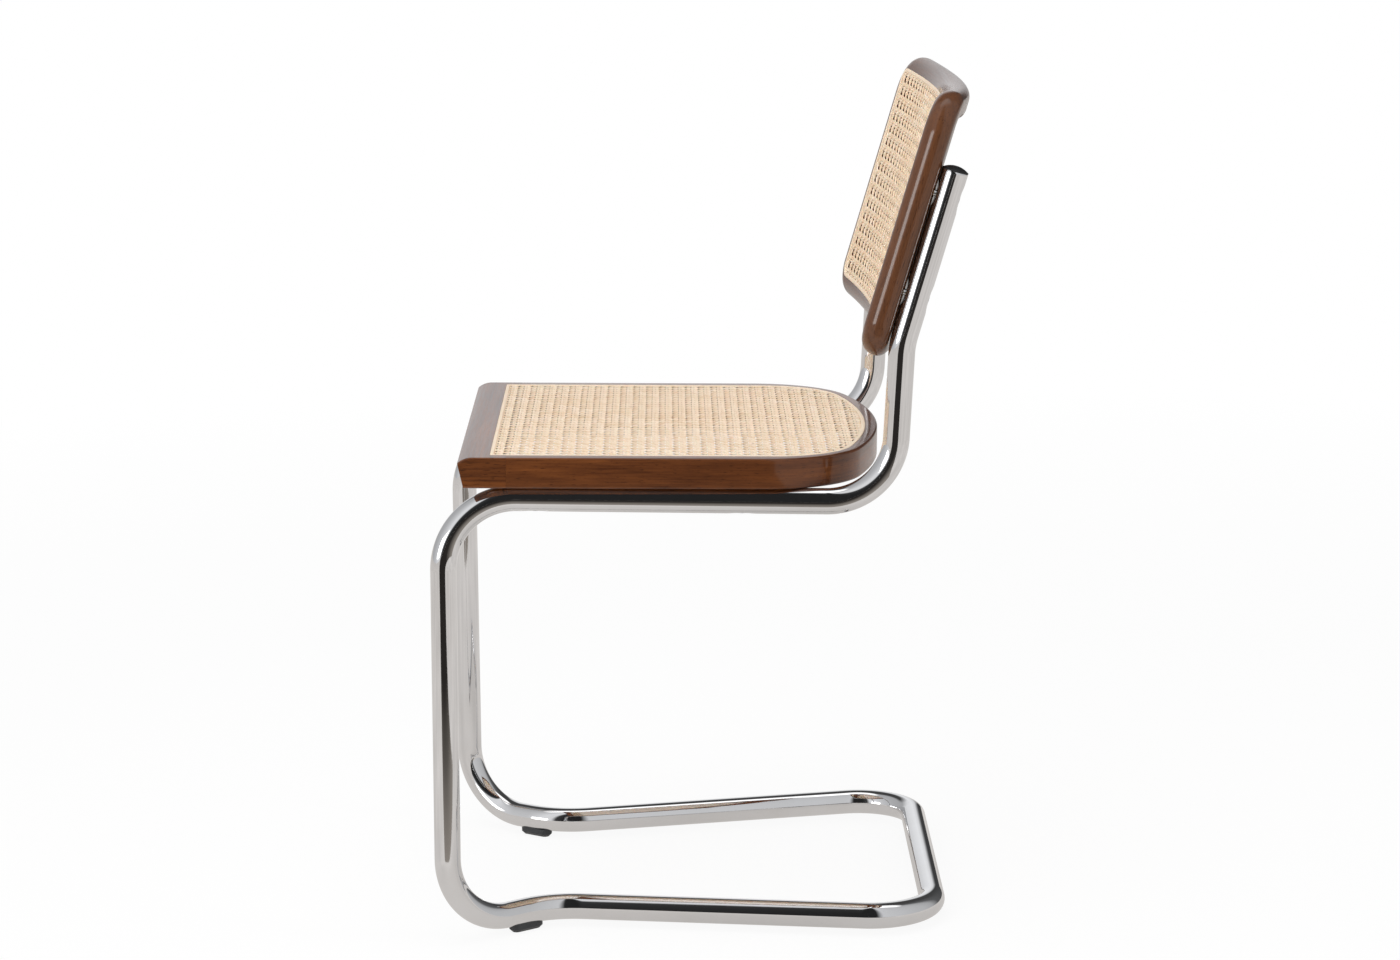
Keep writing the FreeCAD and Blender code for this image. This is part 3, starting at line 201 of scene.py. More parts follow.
def seat_frame():
    """The seat's frame: Z = 0 is the underside of the wood, resting on the tubes."""
    slope = seat_slope()
    level = tube().seat_bend[2] + tube().seat_bend[1] * math.tan(slope)
    level += (tube().radius + tube().seating_gap) / math.cos(slope)
    return Matrix.Translation((0, centring(), level)) @ Matrix.Rotation(-slope, 4, "X")


def back_frame():
    """The back's frame: Z runs up the uprights, Y points to the rear."""
    kink = tube().kink
    shift = Matrix.Translation((0, kink[1] + centring(), kink[2]))
    return shift @ Matrix.Rotation(-tube().lean, 4, "X")


def back_axis():
    """Y of the axis of the back's curve: its rear face just touches both tubes."""
    reach = back().rear_arc + tube().radius + tube().seating_gap
    return -math.sqrt(reach**2 - tube().kink[0] ** 2)


def moved(points, matrix):
    """Points in an array, taken through a 4 x 4 matrix."""
    m = np.array(matrix)
    return points @ m[:3, :3].T + m[:3, 3]


# Mesh building


def new_object(name, data):
    made = bpy.data.objects.new(name, data)
    bpy.context.scene.collection.objects.link(made)
    return made


def new_piece(name, points, faces, replaced, material, smooth_angle):
    """A mesh object from arrays of points and faces, riding on the chair."""
    mesh = bpy.data.meshes.new(name)
    mesh.from_pydata(points.tolist(), [], faces)
    mesh.validate()
    mesh.update()
    for polygon in mesh.polygons:
        polygon.use_smooth = True
    mesh.set_sharp_from_angle(angle=math.radians(smooth_angle))
    piece = new_object(name, mesh)
    mesh.materials.append(material)
    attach(piece, ROOT)
    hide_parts(*replaced)
    return piece


def store_grain(piece, values):
    """Keeps one vector at each point: along the fibres, across them and through them."""
    layer = piece.data.attributes.new("grain", "FLOAT_VECTOR", "POINT")
    layer.data.foreach_set("vector", np.asarray(values, dtype=np.float32).ravel())


def grid_faces(rows, columns, round_rows=False, round_columns=False):
    """Quads over a grid of points that may close on itself either way."""
    row_count = rows if round_rows else rows - 1
    column_count = columns if round_columns else columns - 1
    faces = []
    for i in range(row_count):
        following = (i + 1) % rows
        for j in range(column_count):
            beside = (j + 1) % columns
            near = (i * columns + j, i * columns + beside)
            far = (following * columns + beside, following * columns + j)
            faces.append(near + far)
    return faces


def between(first, second, share):
    """A point or colour part of the way from one to another."""
    return tuple(near + (far - near) * share for near, far in zip(first, second))


def side_by_side(*values):
    """Columns of numbers, where a single number fills its column."""
    return np.column_stack(np.broadcast_arrays(*values))


def running_length(points):
    steps = np.linalg.norm(np.diff(points, axis=0), axis=1)
    return np.concatenate([[0.0], np.cumsum(steps)])


# The bent tube

# Spacing of the stations along straight runs, and turn between those in a bend
STATION_STEP = 0.0022
STATION_TURN = math.radians(1.5)
# Points round the tube, depth to which its open ends show their bore, and rounding of the rim
TUBE_COLUMNS = 80
BORE_SHOWN = 0.006
RIM_ROUND = 0.0004
# Softness of the rim of a pressing, and how far from its middle the wall is looked at, in reaches
PRESS_SOFT = 0.00025
PRESS_WIDE = 2.2


def tube_corners():
    """Corner points of the whole centre line and the bend radius at each inner one."""
    t = tube()
    kink = Vector(t.kink)
    top = kink + Vector((0, math.sin(t.lean), math.cos(t.lean))) * t.upright
    left = [top, kink, t.seat_bend, t.front_bend, t.foot_bend, t.runner_kink, t.rear_corner]
    left = [Vector(corner) for corner in left]
    right = [Vector((-corner.x, corner.y, corner.z)) for corner in reversed(left)]
    bends = [t.kink_bend, t.seat_turn, t.front_turn, t.foot_turn, t.runner_turn, t.rear_turn]
    return left + right, bends + bends[::-1]


def tube_stations():
    """Closely spaced points along the centre line and the direction at each."""
    corners, bends = tube_corners()
    points = []
    directions = []

    def add_run(start, end):
        span = (end - start).length
        count = max(2, int(span / STATION_STEP))
        heading = (end - start).normalized()
        for i in range(count):
            points.append(start + (end - start) * (i / count))
            directions.append(heading)

    start = corners[0]
    for before, corner, after, radius in zip(corners, corners[1:], corners[2:], bends):
        back_way = (before - corner).normalized()
        ahead = (after - corner).normalized()
        half = back_way.angle(ahead) / 2
        first = corner + back_way * (radius / math.tan(half))
        add_run(start, first)
        centre = corner + (back_way + ahead).normalized() * (radius / math.sin(half))
        arm = first - centre
        axis = arm.cross(-back_way).normalized()
        turn = math.pi - 2 * half
        count = max(6, int(turn / STATION_TURN))
        for i in range(count):
            spin = Matrix.Rotation(turn * i / count, 3, axis)
            points.append(centre + spin @ arm)
            directions.append((spin @ -back_way).normalized())
        start = corner + ahead * (radius / math.tan(half))
    add_run(start, corners[-1])
    points.append(corners[-1])
    directions.append(directions[-1])
    shift = Vector((0, centring(), 0))
    return [point + shift for point in points], directions


def carried_frames(directions):
    """A sideways direction at each station, carried along without twist."""
    side = directions[0].orthogonal().normalized()
    sides = [side]
    for last, heading in zip(directions, directions[1:]):
        side = last.rotation_difference(heading) @ side
        side = (side - heading * side.dot(heading)).normalized()
        sides.append(side)
    return sides


def pressings():
    """Centre and outward direction of each place where the wall is pressed in."""
    t = tube()
    spots = []
    slope = seat_slope()
    under = Vector((0, -math.sin(slope), -math.cos(slope)))
    rearward = Vector((0, math.cos(t.lean), -math.sin(t.lean)))
    up = Vector((0, math.sin(t.lean), math.cos(t.lean)))
    shift = Vector((0, centring(), 0))
    for sign in (1, -1):
        for depth in (t.seat_screw_front, t.seat_screw_rear):
            share = (depth - t.front_bend[1]) / (t.seat_bend[1] - t.front_bend[1])
            width, depth, level = between(t.front_bend, t.seat_bend, share)
            spots.append((Vector((sign * width, depth, level)) + shift, under))
        for height in (t.back_screw_low, t.back_screw_high):
            centre = Vector(t.kink) + up * height
            centre.x *= sign
            spots.append((centre + shift, rearward))
            spots.append((centre + shift, -rearward))
    return spots


def press_wall(points):
    """Flattens a round spot with soft sloping sides into the wall at each screw."""
    t = tube()
    slope = math.sqrt(t.press_depth) / (t.press_reach - t.press_flat)
    for centre, outward in pressings():
        away = np.array(outward)
        offset = points - np.array(centre)
        height = offset @ away
        near = (np.linalg.norm(offset, axis=1) < PRESS_WIDE * t.press_reach) & (height > 0)
        flat = offset[near] - np.outer(height[near], away)
        spread = np.maximum(np.linalg.norm(flat, axis=1) - t.press_flat, 0)
        floor = t.radius - t.press_depth + (slope * spread) ** 2
        present = height[near]
        gap = np.clip(0.5 + (floor - present) / (2 * PRESS_SOFT), 0, 1)
        lowered = floor * (1 - gap) + present * gap - PRESS_SOFT * gap * (1 - gap)
        points[near] += np.outer(lowered - present, away)
    return points


def build_tube():
    """The tube as one swept skin, turned in at its open ends, with pressed spots."""
    stations, directions = tube_stations()
    sides = carried_frames(directions)
    radius = tube().radius
    bore = radius - tube().wall
    turns = np.arange(TUBE_COLUMNS) * (2 * math.pi / TUBE_COLUMNS)

    def ring(i, size, along):
        heading = np.array(directions[i])
        side = np.array(sides[i])
        other = np.cross(heading, side)
        wheel = np.outer(np.cos(turns), side) + np.outer(np.sin(turns), other)
        return np.array(stations[i]) + wheel * size + heading * along

    last = len(stations) - 1
    end = [(bore, BORE_SHOWN), (bore, 0.0), (radius - RIM_ROUND, 0.0), (radius, RIM_ROUND)]
    rows = [ring(0, size, depth) for size, depth in end]
    rows += [ring(i, radius, 0.0) for i in range(1, last)]
    rows += [ring(last, size, -depth) for size, depth in reversed(end)]
    points = press_wall(np.concatenate(rows))
    run = running_length(np.array(stations))
    extra = len(end) - 1
    along = np.concatenate([[0.0] * extra, run, [run[-1]] * extra])
    grain = np.zeros((len(rows), TUBE_COLUMNS, 3))
    grain[:, :, 0] = along[:, None]
    grain[:, :, 1] = turns[None, :] * radius
    faces = grid_faces(len(rows), TUBE_COLUMNS, round_columns=True)
    chrome = chrome_material("polished_chrome")
    piece = new_piece("bent_tube", points, faces, ["tube_frame"], chrome, 60)
    store_grain(piece, grain.reshape(-1, 3))


# The seat's bent side rail

# Points along each part of an outline of the seat
SIDE_POINTS = 40
CORNER_POINTS = 48
REAR_POINTS = 49
FRONT_POINTS = 60
# Depth of the spline's groove, clearance under the cane, and gap at the joints with the front rail
GROOVE_DEPTH = 0.003
LEDGE_GAP = 0.0002
JOINT_GAP = 0.00008


def seat_outline(half_width, front, rear, rear_arc, corner, with_front):
    """Points round one outline of the seat, from left front by the rear to right front."""
    bow = rear - rear_arc
    turn_x = half_width - corner
    turn_y = bow + math.sqrt((rear_arc - corner) ** 2 - turn_x**2)
    spread = math.atan2(turn_x, turn_y - bow)
    left = []
    for share in np.linspace(0, 1, SIDE_POINTS, endpoint=False):
        left.append((half_width, front + (turn_y - front) * share))
    for share in np.linspace(0, 1, CORNER_POINTS, endpoint=False):
        lift = (math.pi / 2 - spread) * share
        left.append((turn_x + corner * math.cos(lift), turn_y + corner * math.sin(lift)))
    points = list(left)
    for share in np.linspace(0, 1, REAR_POINTS):
        swing = spread * (1 - 2 * share)
        points.append((rear_arc * math.sin(swing), bow + rear_arc * math.cos(swing)))
    points += [(-x, y) for x, y in reversed(left)]
    if with_front:
        for share in np.linspace(0, 1, FRONT_POINTS)[1:-1]:
            points.append((-half_width + 2 * half_width * share, front))
    return np.array(points)


def frame_outline(inset, front):
    """The outside of the seat frame, drawn in by an inset."""
    s = seat()
    sizes = [size - inset for size in (s.rear, s.rear_arc, s.corner)]
    return seat_outline(s.half_width - inset, front, *sizes, False)


def cane_outline(inset, front=None):
    """The outside of the seat's spline, drawn in by an inset."""
    s = seat()
    start = s.cane_front + inset if front is None else front
    sizes = [size - inset for size in (s.cane_rear, s.cane_rear_arc, s.cane_corner)]
    return seat_outline(s.cane_half_width - inset, start, *sizes, front is None)


def side_rail_section():
    """The rail's section as (outline, inset, height), from the outer foot round."""
    s, w = seat(), weave()
    top = s.thickness
    groove = top - GROOVE_DEPTH
    lip = top - w.sheet
    ledge = lip - LEDGE_GAP
    inner = w.spline_width + w.lip
    size = s.edge_round
    section = []
    for turn in np.linspace(0, math.pi / 2, 6):
        section.append(("frame", size * (1 - math.sin(turn)), size * (1 - math.cos(turn))))
    for turn in np.linspace(0, math.pi / 2, 7):
        section.append(("frame", size * (1 - math.cos(turn)), top - size + size * math.sin(turn)))
    # From the rounded rim of the groove, over the ledge under the cane, to the inner foot
    inside = [
        (-0.0005, top),
        (-0.0001, top - 0.0003),
        (0.0, groove),
        (w.spline_width, groove),
        (w.spline_width, ledge),
        (inner - 0.002, ledge),
        (inner - 0.0006, ledge - 0.0005),
        (inner, lip - 0.002),
        (inner, 0.001),
        (inner - 0.001, 0.0),
    ]
    return section + [("cane", inset, height) for inset, height in inside]


def build_side_rail():
    """The rail bent round both sides and the rear of the seat."""
    s, w = seat(), weave()
    joint = s.cane_front + w.spline_width + w.lip + JOINT_GAP
    outer = frame_outline(0.0, joint)
    fibre = running_length(outer)
    rows = []
    grain = []
    for line, inset, height in side_rail_section():
        maker = frame_outline if line == "frame" else cane_outline
        plan = maker(inset, joint)
        across = np.linalg.norm(plan - outer, axis=1)
        rows.append(side_by_side(*plan.T, height))
        grain.append(side_by_side(fibre, across, height))
    stations = len(outer)
    points = moved(np.concatenate(rows), seat_frame())
    faces = grid_faces(len(rows), stations, round_rows=True)
    faces.append(tuple(i * stations for i in range(len(rows))))
    faces.append(tuple(i * stations + stations - 1 for i in reversed(range(len(rows)))))
    wood = stained_wood("bent_wood", grain_fibres)
    piece = new_piece("bent_side_rail", points, faces, ["seat_side_rail"], wood, 30)
    store_grain(piece, np.concatenate(grain))


# Splines

# Gaps beside the bead at its foot and at its shoulders, and how far its shoulders lie below the wood
FOOT_GAP = 0.00005
SHOULDER_GAP = 0.00008
SHOULDER_SUNK = 0.0002
# Share of the skirt that the bead leaves free, and fullness of its round top
SKIRT_SHARE = 0.6
TOP_FULLNESS = 0.8
# Points round each corner of the back's outline, and along its long and short sides
BACK_CORNER_POINTS = 10
BACK_LONG_POINTS = 60
BACK_SHORT_POINTS = 30


def back_outline(inset):
    """The outside of the back's spline in its flat frame, drawn in by an inset."""
    b = back()
    radius = b.cane_corner - inset
    across = b.cane_half_width - inset - radius
    low = b.cane_bottom + inset + radius
    high = b.cane_top - inset - radius
    centres = [(across, high), (-across, high), (-across, low), (across, low)]
    points = []
    for quarter, (x, y) in enumerate(centres):
        for share in np.linspace(0, 1, BACK_CORNER_POINTS):
            turn = math.pi / 2 * (quarter + share)
            points.append((x + radius * math.cos(turn), y + radius * math.sin(turn)))
        start = points[-1]
        following = centres[(quarter + 1) % 4]
        end = (start[0] + following[0] - x, start[1] + following[1] - y)
        count = BACK_SHORT_POINTS if quarter % 2 else BACK_LONG_POINTS
        for share in np.linspace(0, 1, count)[1:-1]:
            points.append(between(start, end, share))
    return np.array(points)


def on_back(flat):
    """Flat points (across, up, forward of the front face) laid on the curved back."""
    front = back().rear_arc - back().thickness
    turn = np.arcsin(np.clip(flat[:, 0] / front, -1, 1))
    reach = front - flat[:, 2]
    bent = side_by_side(reach * np.sin(turn), back_axis() + reach * np.cos(turn), flat[:, 1])
    return moved(bent, back_frame())


def on_seat(flat):
    """Flat points (across, deep, above the wood's top) laid on the seat."""
    raised = flat + np.array([0, 0, seat().thickness])
    return moved(raised, seat_frame())


def spline_section():
    """The bead's section as (inset, height above the wood)."""
    w = weave()
    width = w.spline_width - w.skirt * SKIRT_SHARE
    section = [(FOOT_GAP, -GROOVE_DEPTH)]
    for turn in np.linspace(0, math.pi, 9):
        inset = width / 2 - (width / 2 - SHOULDER_GAP) * math.cos(turn)
        bulge = w.spline_proud * math.sin(turn) ** TOP_FULLNESS if 0 < turn < math.pi else -SHOULDER_SUNK
        section.append((inset, bulge - SHOULDER_SUNK))
    return section + [(width, -GROOVE_DEPTH)]


def build_spline(name, node, outline, lay):
    """A reed bead pressed into the groove round a cane panel."""
    section = spline_section()
    rows = []
    grain = []
    fibre = running_length(outline(section[0][0]))
    for inset, rise in section:
        plan = outline(inset)
        rows.append(lay(side_by_side(*plan.T, rise)))
        grain.append(side_by_side(fibre, inset, rise))
    faces = grid_faces(len(rows), len(rows[0]), round_rows=True, round_columns=True)
    reed = reed_material("reed")
    piece = new_piece(name, np.concatenate(rows), faces, [node], reed, 70)
    store_grain(piece, np.concatenate(grain))


# Woven cane

# Section of a strand as shares of its half width and of its thickness
STRAND_SECTION = [
    (-1.0, -0.5), (-0.92, 0.12), (-0.5, 0.44), (0.0, 0.5), (0.5, 0.44), (0.92, 0.12), (1.0, -0.5)
]
# Stations along a strand in one pitch, and the least distance of a pair's strand from the rim
STRAND_STATIONS = 9
RIM_GAP = 0.001
# Sharpness of a slanting strand's steps over and under the pairs
SLANT_SHARPNESS = 2.4
# Length over which a strand dips into the groove at its ends, and how far it dips
TUCK_REACH = 0.0022
TUCK_DROP = 0.0011
# How far the strands run on past the skirt, under the spline
TUCK_UNDER = 0.0006
# Height of the weave's middle over the lip, in strands
WEAVE_LIFT = 1.1
# How far a strand wanders sideways, the least and the added speed of its waves, and their shift
WANDER = 0.00009
WANDER_SPEED = (60, 40)
WANDER_SHIFT = 7
# Seed of the strands' differences, range of the start of their grain, and least and added width
SEED = 7
GRAIN_START = 5
WIDTH_SHARE = (0.94, 0.12)
# Slack when a line is tested for being parallel to an edge, and for meeting it
PARALLEL_SLACK = 1e-12
EDGE_SLACK = 1e-9


def clip_line(point, heading, polygon):
    """Where a straight line enters and leaves a convex outline."""
    following = np.roll(polygon, -1, axis=0)
    edge = following - polygon
    cross = heading[0] * edge[:, 1] - heading[1] * edge[:, 0]
    safe = np.abs(cross) > PARALLEL_SLACK
    gap = polygon - np.array(point)
    divisor = np.where(safe, cross, 1)
    along = (gap[:, 0] * edge[:, 1] - gap[:, 1] * edge[:, 0]) / divisor
    share = (gap[:, 0] * heading[1] - gap[:, 1] * heading[0]) / divisor
    hits = along[safe & (share >= -EDGE_SLACK) & (share <= 1 + EDGE_SLACK)]
    if len(hits) < 2:
        return None
    return hits.min(), hits.max()


def pair_wave(distance, pitch, pair):
    """Rise and fall of a strand where it passes over one of a pair and under the other."""
    local = distance - np.round(distance / pitch) * pitch
    inside = np.abs(local) < pair
    return np.where(inside, np.sin(math.pi * local / pair), 0.0)


def slant_wave(distance, pitch):
    """Height of a slanting strand, flat on top of each pair and flat below the next."""
    swing = np.cos(2 * math.pi * distance / pitch)
    return np.tanh(SLANT_SHARPNESS * swing) / math.tanh(SLANT_SHARPNESS)


def strand_lines(polygon, origin):
    """Every strand of a panel as (points, heights, width), in the panel's flat frame."""
    w = weave()
    low = polygon.min(axis=0)
    high = polygon.max(axis=0)
    pitch = w.pitch
    strands = []

    def lay(point, heading, width, height):
        ends = clip_line(point, heading, polygon)
        if ends is None or ends[1] - ends[0] < pitch / 2:
            return
        count = max(3, int((ends[1] - ends[0]) / (pitch / STRAND_STATIONS)))
        run = np.linspace(ends[0], ends[1], count)
        line = np.array(point) + np.outer(run, heading)
        strands.append((line, height(line - origin), width))

    def lay_pairs(axis):
        """Pairs of strands set out along one axis, each running along the other."""
        other = 1 - axis
        first = int(math.floor((low[axis] - origin[axis]) / pitch)) - 1
        last = int(math.ceil((high[axis] - origin[axis]) / pitch)) + 1
        for i in range(first, last + 1):
            for sign in (-1, 1):
                spot = origin[axis] + i * pitch + sign * w.pair / 2
                over = 0.5 * sign * (other - axis)
                if low[axis] + RIM_GAP < spot < high[axis] - RIM_GAP:
                    lay(
                        (spot * other, spot * axis),
                        (axis, other),
                        w.straight_width,
                        lambda at: over * pair_wave(at[:, other], pitch, w.pair),
                    )

    lay_pairs(0)
    lay_pairs(1)
    reach = int((high[0] - low[0] + high[1] - low[1]) / pitch) + 2
    slant = math.sqrt(0.5)
    for k in range(-reach, reach + 1):
        start = (origin[0] + (k + 0.5) * pitch, origin[1])
        for way in (1, -1):
            lay(start, (way * slant, slant), w.slant_width, lambda at: -way * slant_wave(at[:, 0], pitch))
    return strands


def build_cane(name, node, outline, lay, origin, material):
    """A whole panel of woven strands, each with a rounded face, tucked in at the rim."""
    w = weave()
    polygon = outline(w.spline_width - w.skirt - TUCK_UNDER)
    rng = np.random.default_rng(SEED)
    middle = -w.sheet + WEAVE_LIFT * w.strand
    points = []
    grain = []
    faces = []
    base = 0
    for line, height, width in strand_lines(polygon, np.array(origin)):
        count = len(line)
        heading = line[-1] - line[0]
        heading = heading / np.linalg.norm(heading)
        side = np.array([-heading[1], heading[0]])
        run = running_length(line)
        tuck = np.minimum(run, run[-1] - run)
        drop = np.clip(1 - tuck / TUCK_REACH, 0, 1) ** 2 * TUCK_DROP
        tone = rng.random()
        start = rng.random() * GRAIN_START
        speed = WANDER_SPEED[0] + WANDER_SPEED[1] * tone
        wander = WANDER * np.sin(run * speed + start * WANDER_SHIFT)
        breadth = width * (WIDTH_SHARE[0] + WIDTH_SHARE[1] * rng.random())
        for across, rise in STRAND_SECTION:
            aside = across * breadth / 2
            flat = line + np.outer(aside + wander, side)
            points.append(side_by_side(*flat.T, middle + w.strand * (height + rise) - drop))
            grain.append(side_by_side(run + start, aside, tone))
        for face in grid_faces(len(STRAND_SECTION), count):
            faces.append(tuple(base + corner for corner in face))
        base += len(STRAND_SECTION) * count
    piece = new_piece(name, lay(np.concatenate(points)), faces, [node], material, 70)
    store_grain(piece, np.concatenate(grain))


# Materials


class NodeTree:
    """A short way to write a node tree."""

    def __init__(self, tree):
        self.tree = tree

    def node(self, kind, *sources, **settings):
        """A node with its first sockets linked; in_ starts the name of a socket that gets a value."""
        made = self.tree.nodes.new(kind)
        for source, socket in zip(sources, made.inputs):
            self.tree.links.new(source, socket)
        for key, value in settings.items():
            if key.startswith("in_"):
                made.inputs[key[3:].replace("_", " ")].default_value = value
            else:
                setattr(made, key, value)
        return made

    def fill(self, socket, value):
        """Links another node's output to a socket, or sets a number or colour on it."""
        if isinstance(value, bpy.types.NodeSocket):
            self.tree.links.new(value, socket)
        elif isinstance(value, (int, float)):
            socket.default_value = value
        else:
            socket.default_value = (*value, 1)

    def math(self, operation, first, second=0.0):
        made = self.node("ShaderNodeMath", operation=operation)
        self.fill(made.inputs[0], first)
        self.fill(made.inputs[1], second)
        return made.outputs[0]

    def weighted(self, first, first_share, second, second_share):
        scaled_first = self.math("MULTIPLY", first, first_share)
        return self.math("ADD", scaled_first, self.math("MULTIPLY", second, second_share))

    def vector_math(self, operation, vector, numbers, output="Vector"):
        made = self.node("ShaderNodeVectorMath", vector, operation=operation)
        made.inputs[1].default_value = numbers
        return made.outputs[output]

    def parts(self, vector):
        """The X, Y and Z of a vector."""
        return list(self.node("ShaderNodeSeparateXYZ", vector).outputs)

    def joined(self, x, y, z):
        return self.node("ShaderNodeCombineXYZ", x, y, z).outputs[0]

    def noise(self, vector, scale, detail, rough=0.5, distort=0.0):
        sizes = {"in_Scale": scale, "in_Detail": detail, "in_Roughness": rough, "in_Distortion": distort}
        return self.node("ShaderNodeTexNoise", vector, **sizes).outputs["Fac"]

    def streaks(self, vector, scales, *settings):
        """Noise with a scale of its own along each axis."""
        return self.noise(self.vector_math("MULTIPLY", vector, scales), 1.0, *settings)

    def ramp(self, value, stops):
        made = self.node("ShaderNodeValToRGB", value)
        elements = made.color_ramp.elements
        while len(elements) < len(stops):
            elements.new(0.5)
        for element, (position, tint) in zip(elements, stops):
            element.position = position
            element.color = (*tint, 1)
        return made.outputs["Color"]

    def grey(self, value, low_at, high_at, low=0.0, high=1.0):
        """A value carried over from one range to another, and held at its ends."""
        made = self.node("ShaderNodeMapRange", value, in_From_Min=low_at, in_From_Max=high_at)
        made.inputs["To Min"].default_value = low
        made.inputs["To Max"].default_value = high
        return made.outputs["Result"]

    def mix(self, share, first, second):
        made = self.node("ShaderNodeMix", data_type="RGBA")
        self.tree.links.new(share, made.inputs["Factor"])
        self.fill(made.inputs[6], first)
        self.fill(made.inputs[7], second)
        return made.outputs[2]

    def marked(self, base, mark, value, low_at, high_at, strength):
        """A colour over which another shows where a value is high."""
        return self.mix(self.grey(value, low_at, high_at, 0.0, strength), base, mark)

    def blend(self, share, first, second):
        """One shader passing into another."""
        return self.node("ShaderNodeMixShader", share, first, second).outputs[0]


class Shader(NodeTree):
    """A material and its surface node."""

    def __init__(self, name):
        self.material = bpy.data.materials.new(name)
        self.material.use_nodes = True
        super().__init__(self.material.node_tree)
        self.surface = self.tree.nodes["Principled BSDF"]

    def coordinates(self):
        return self.node("ShaderNodeTexCoord").outputs["Object"]

    def position(self):
        return self.node("ShaderNodeNewGeometry").outputs["Position"]

    def bump(self, height, strength, distance):
        made = self.node("ShaderNodeBump", in_Strength=strength, in_Distance=distance)
        self.tree.links.new(height, made.inputs["Height"])
        self.tree.links.new(made.outputs["Normal"], self.surface.inputs["Normal"])

    def set(self, **values):
        """Fills sockets of the surface, named with _ for each space."""
        for key, value in values.items():
            self.fill(self.surface.inputs[key.replace("_", " ")], value)


def grain_fibres(shader):
    """The vector kept in the mesh: along, across and through the fibres."""
    return shader.node("ShaderNodeAttribute", attribute_name="grain").outputs["Vector"]


def local_frame(shader, matrix):
    """X, Y and Z in a frame of the chair."""
    coordinates = shader.coordinates()
    inverse = matrix.inverted()
    rows = []
    for i in range(3):
        dot = shader.vector_math("DOT_PRODUCT", coordinates, inverse[i][:3], "Value")
        rows.append(shader.math("ADD", dot, inverse[i][3]))
    return rows


def object_fibres(matrix, order):
    """Fibre coordinates of a straight piece: its frame's axes, fibres first."""

    def build(shader):
        local = local_frame(shader, matrix)
        return shader.joined(*(local[axis] for axis in order))

    return build


# Depth to which the front rail's ends show fibres that run back
END_GRAIN = 0.0005


def nose_fibres(shader):
    """Fibres across the front rail, and along the side rails at its two ends."""
    local = local_frame(shader, seat_frame())
    end = seat().half_width - END_GRAIN
    at_end = shader.grey(shader.math("ABSOLUTE", local[0]), end - END_GRAIN, end)
    along = shader.joined(local[1], local[0], local[2])
    return shader.mix(at_end, shader.joined(*local), along)


def curved_fibres(shader):
    """Fibre coordinates that follow the curve of the back's rails."""
    across, deep, height = local_frame(shader, back_frame())
    depth = shader.math("SUBTRACT", deep, back_axis())
    run = shader.math("MULTIPLY", shader.math("ARCTAN2", across, depth), back().rear_arc)
    squares = [shader.math("POWER", value, 2.0) for value in (across, depth)]
    reach = shader.math("SQRT", shader.math("ADD", *squares))
    return shader.joined(run, reach, height)


# Share of a piece's shift that its pattern takes along each axis
PATTERN_SHIFT = (1.0, 0.37, 0.61)


def wood_material(name, fibres, shift, dark, light, pore):
    """Beech under a satin lacquer: soft bands, short flecks and fine pores."""
    shader = Shader(name)
    vector = shader.vector_math("ADD", fibres(shader), [shift * share for share in PATTERN_SHIFT])
    bands = shader.streaks(vector, (3, 60, 46), 5.0, 0.6, 0.9)
    fibre = shader.streaks(vector, (18, 520, 480), 6.0, 0.68)
    flecks = shader.streaks(vector, (130, 1300, 1300), 2.0, 0.5)
    clouds = shader.streaks(vector, (7, 11, 11), 3.0, 0.5)
    stops = [(0.38, dark), (0.50, between(dark, light, 0.5)), (0.62, light)]
    tone = shader.ramp(shader.weighted(bands, 0.55, fibre, 0.45), stops)
    shade = shader.marked(tone, between(dark, light, 0.4), clouds, 0.35, 0.7, 0.4)
    flecked = shader.marked(shade, pore, flecks, 0.60, 0.70, 0.7)
    shader.set(Base_Color=flecked, Roughness=shader.grey(fibre, 0.3, 0.7, 0.34, 0.46))
    shader.set(Coat_Weight=0.65, Coat_Roughness=0.10, Coat_IOR=1.5, Specular_IOR_Level=0.12)
    shader.bump(shader.weighted(fibre, 1.0, flecks, 0.6), 0.10, 0.0002)
    return shader.material


# How far the back's wood leans to brown, and how far its cane leans to the warm tone
BACK_BROWN = 0.5
BACK_WARMTH = 0.14


def stained_wood(name, fibres, shift=0.0, brown=0.0):
    """The stained wood of every rail and stile, from the seat's red tone to the back's brown one."""
    c = colours()
    dark, light = (between(tone, c.wood_brown, brown) for tone in (c.wood_dark, c.wood_light))
    return wood_material(name, fibres, shift, dark, light, c.wood_pore)


def chrome_material(name):
    """Polished plate over steel: near mirror, with fine speckled roughness and handling haze."""
    shader = Shader(name)
    coordinates = shader.coordinates()
    haze = shader.noise(coordinates, 18.0, 4.0, 0.6)
    fine = shader.noise(coordinates, 900.0, 2.0, 0.5)
    hazy = shader.grey(haze, 0.35, 0.75, 0.035, 0.075)
    rough = shader.math("ADD", hazy, shader.grey(fine, 0.55, 0.8, 0.0, 0.03))
    plate = colours().chrome
    dull = between(plate, (0.72, 0.71, 0.70), 0.5)
    shader.set(Base_Color=shader.ramp(haze, [(0.3, plate), (0.75, dull)]), Roughness=rough, Metallic=1.0)
    shader.bump(shader.noise(coordinates, 38.0, 2.0, 0.4), 0.05, 0.0006)
    return shader.material


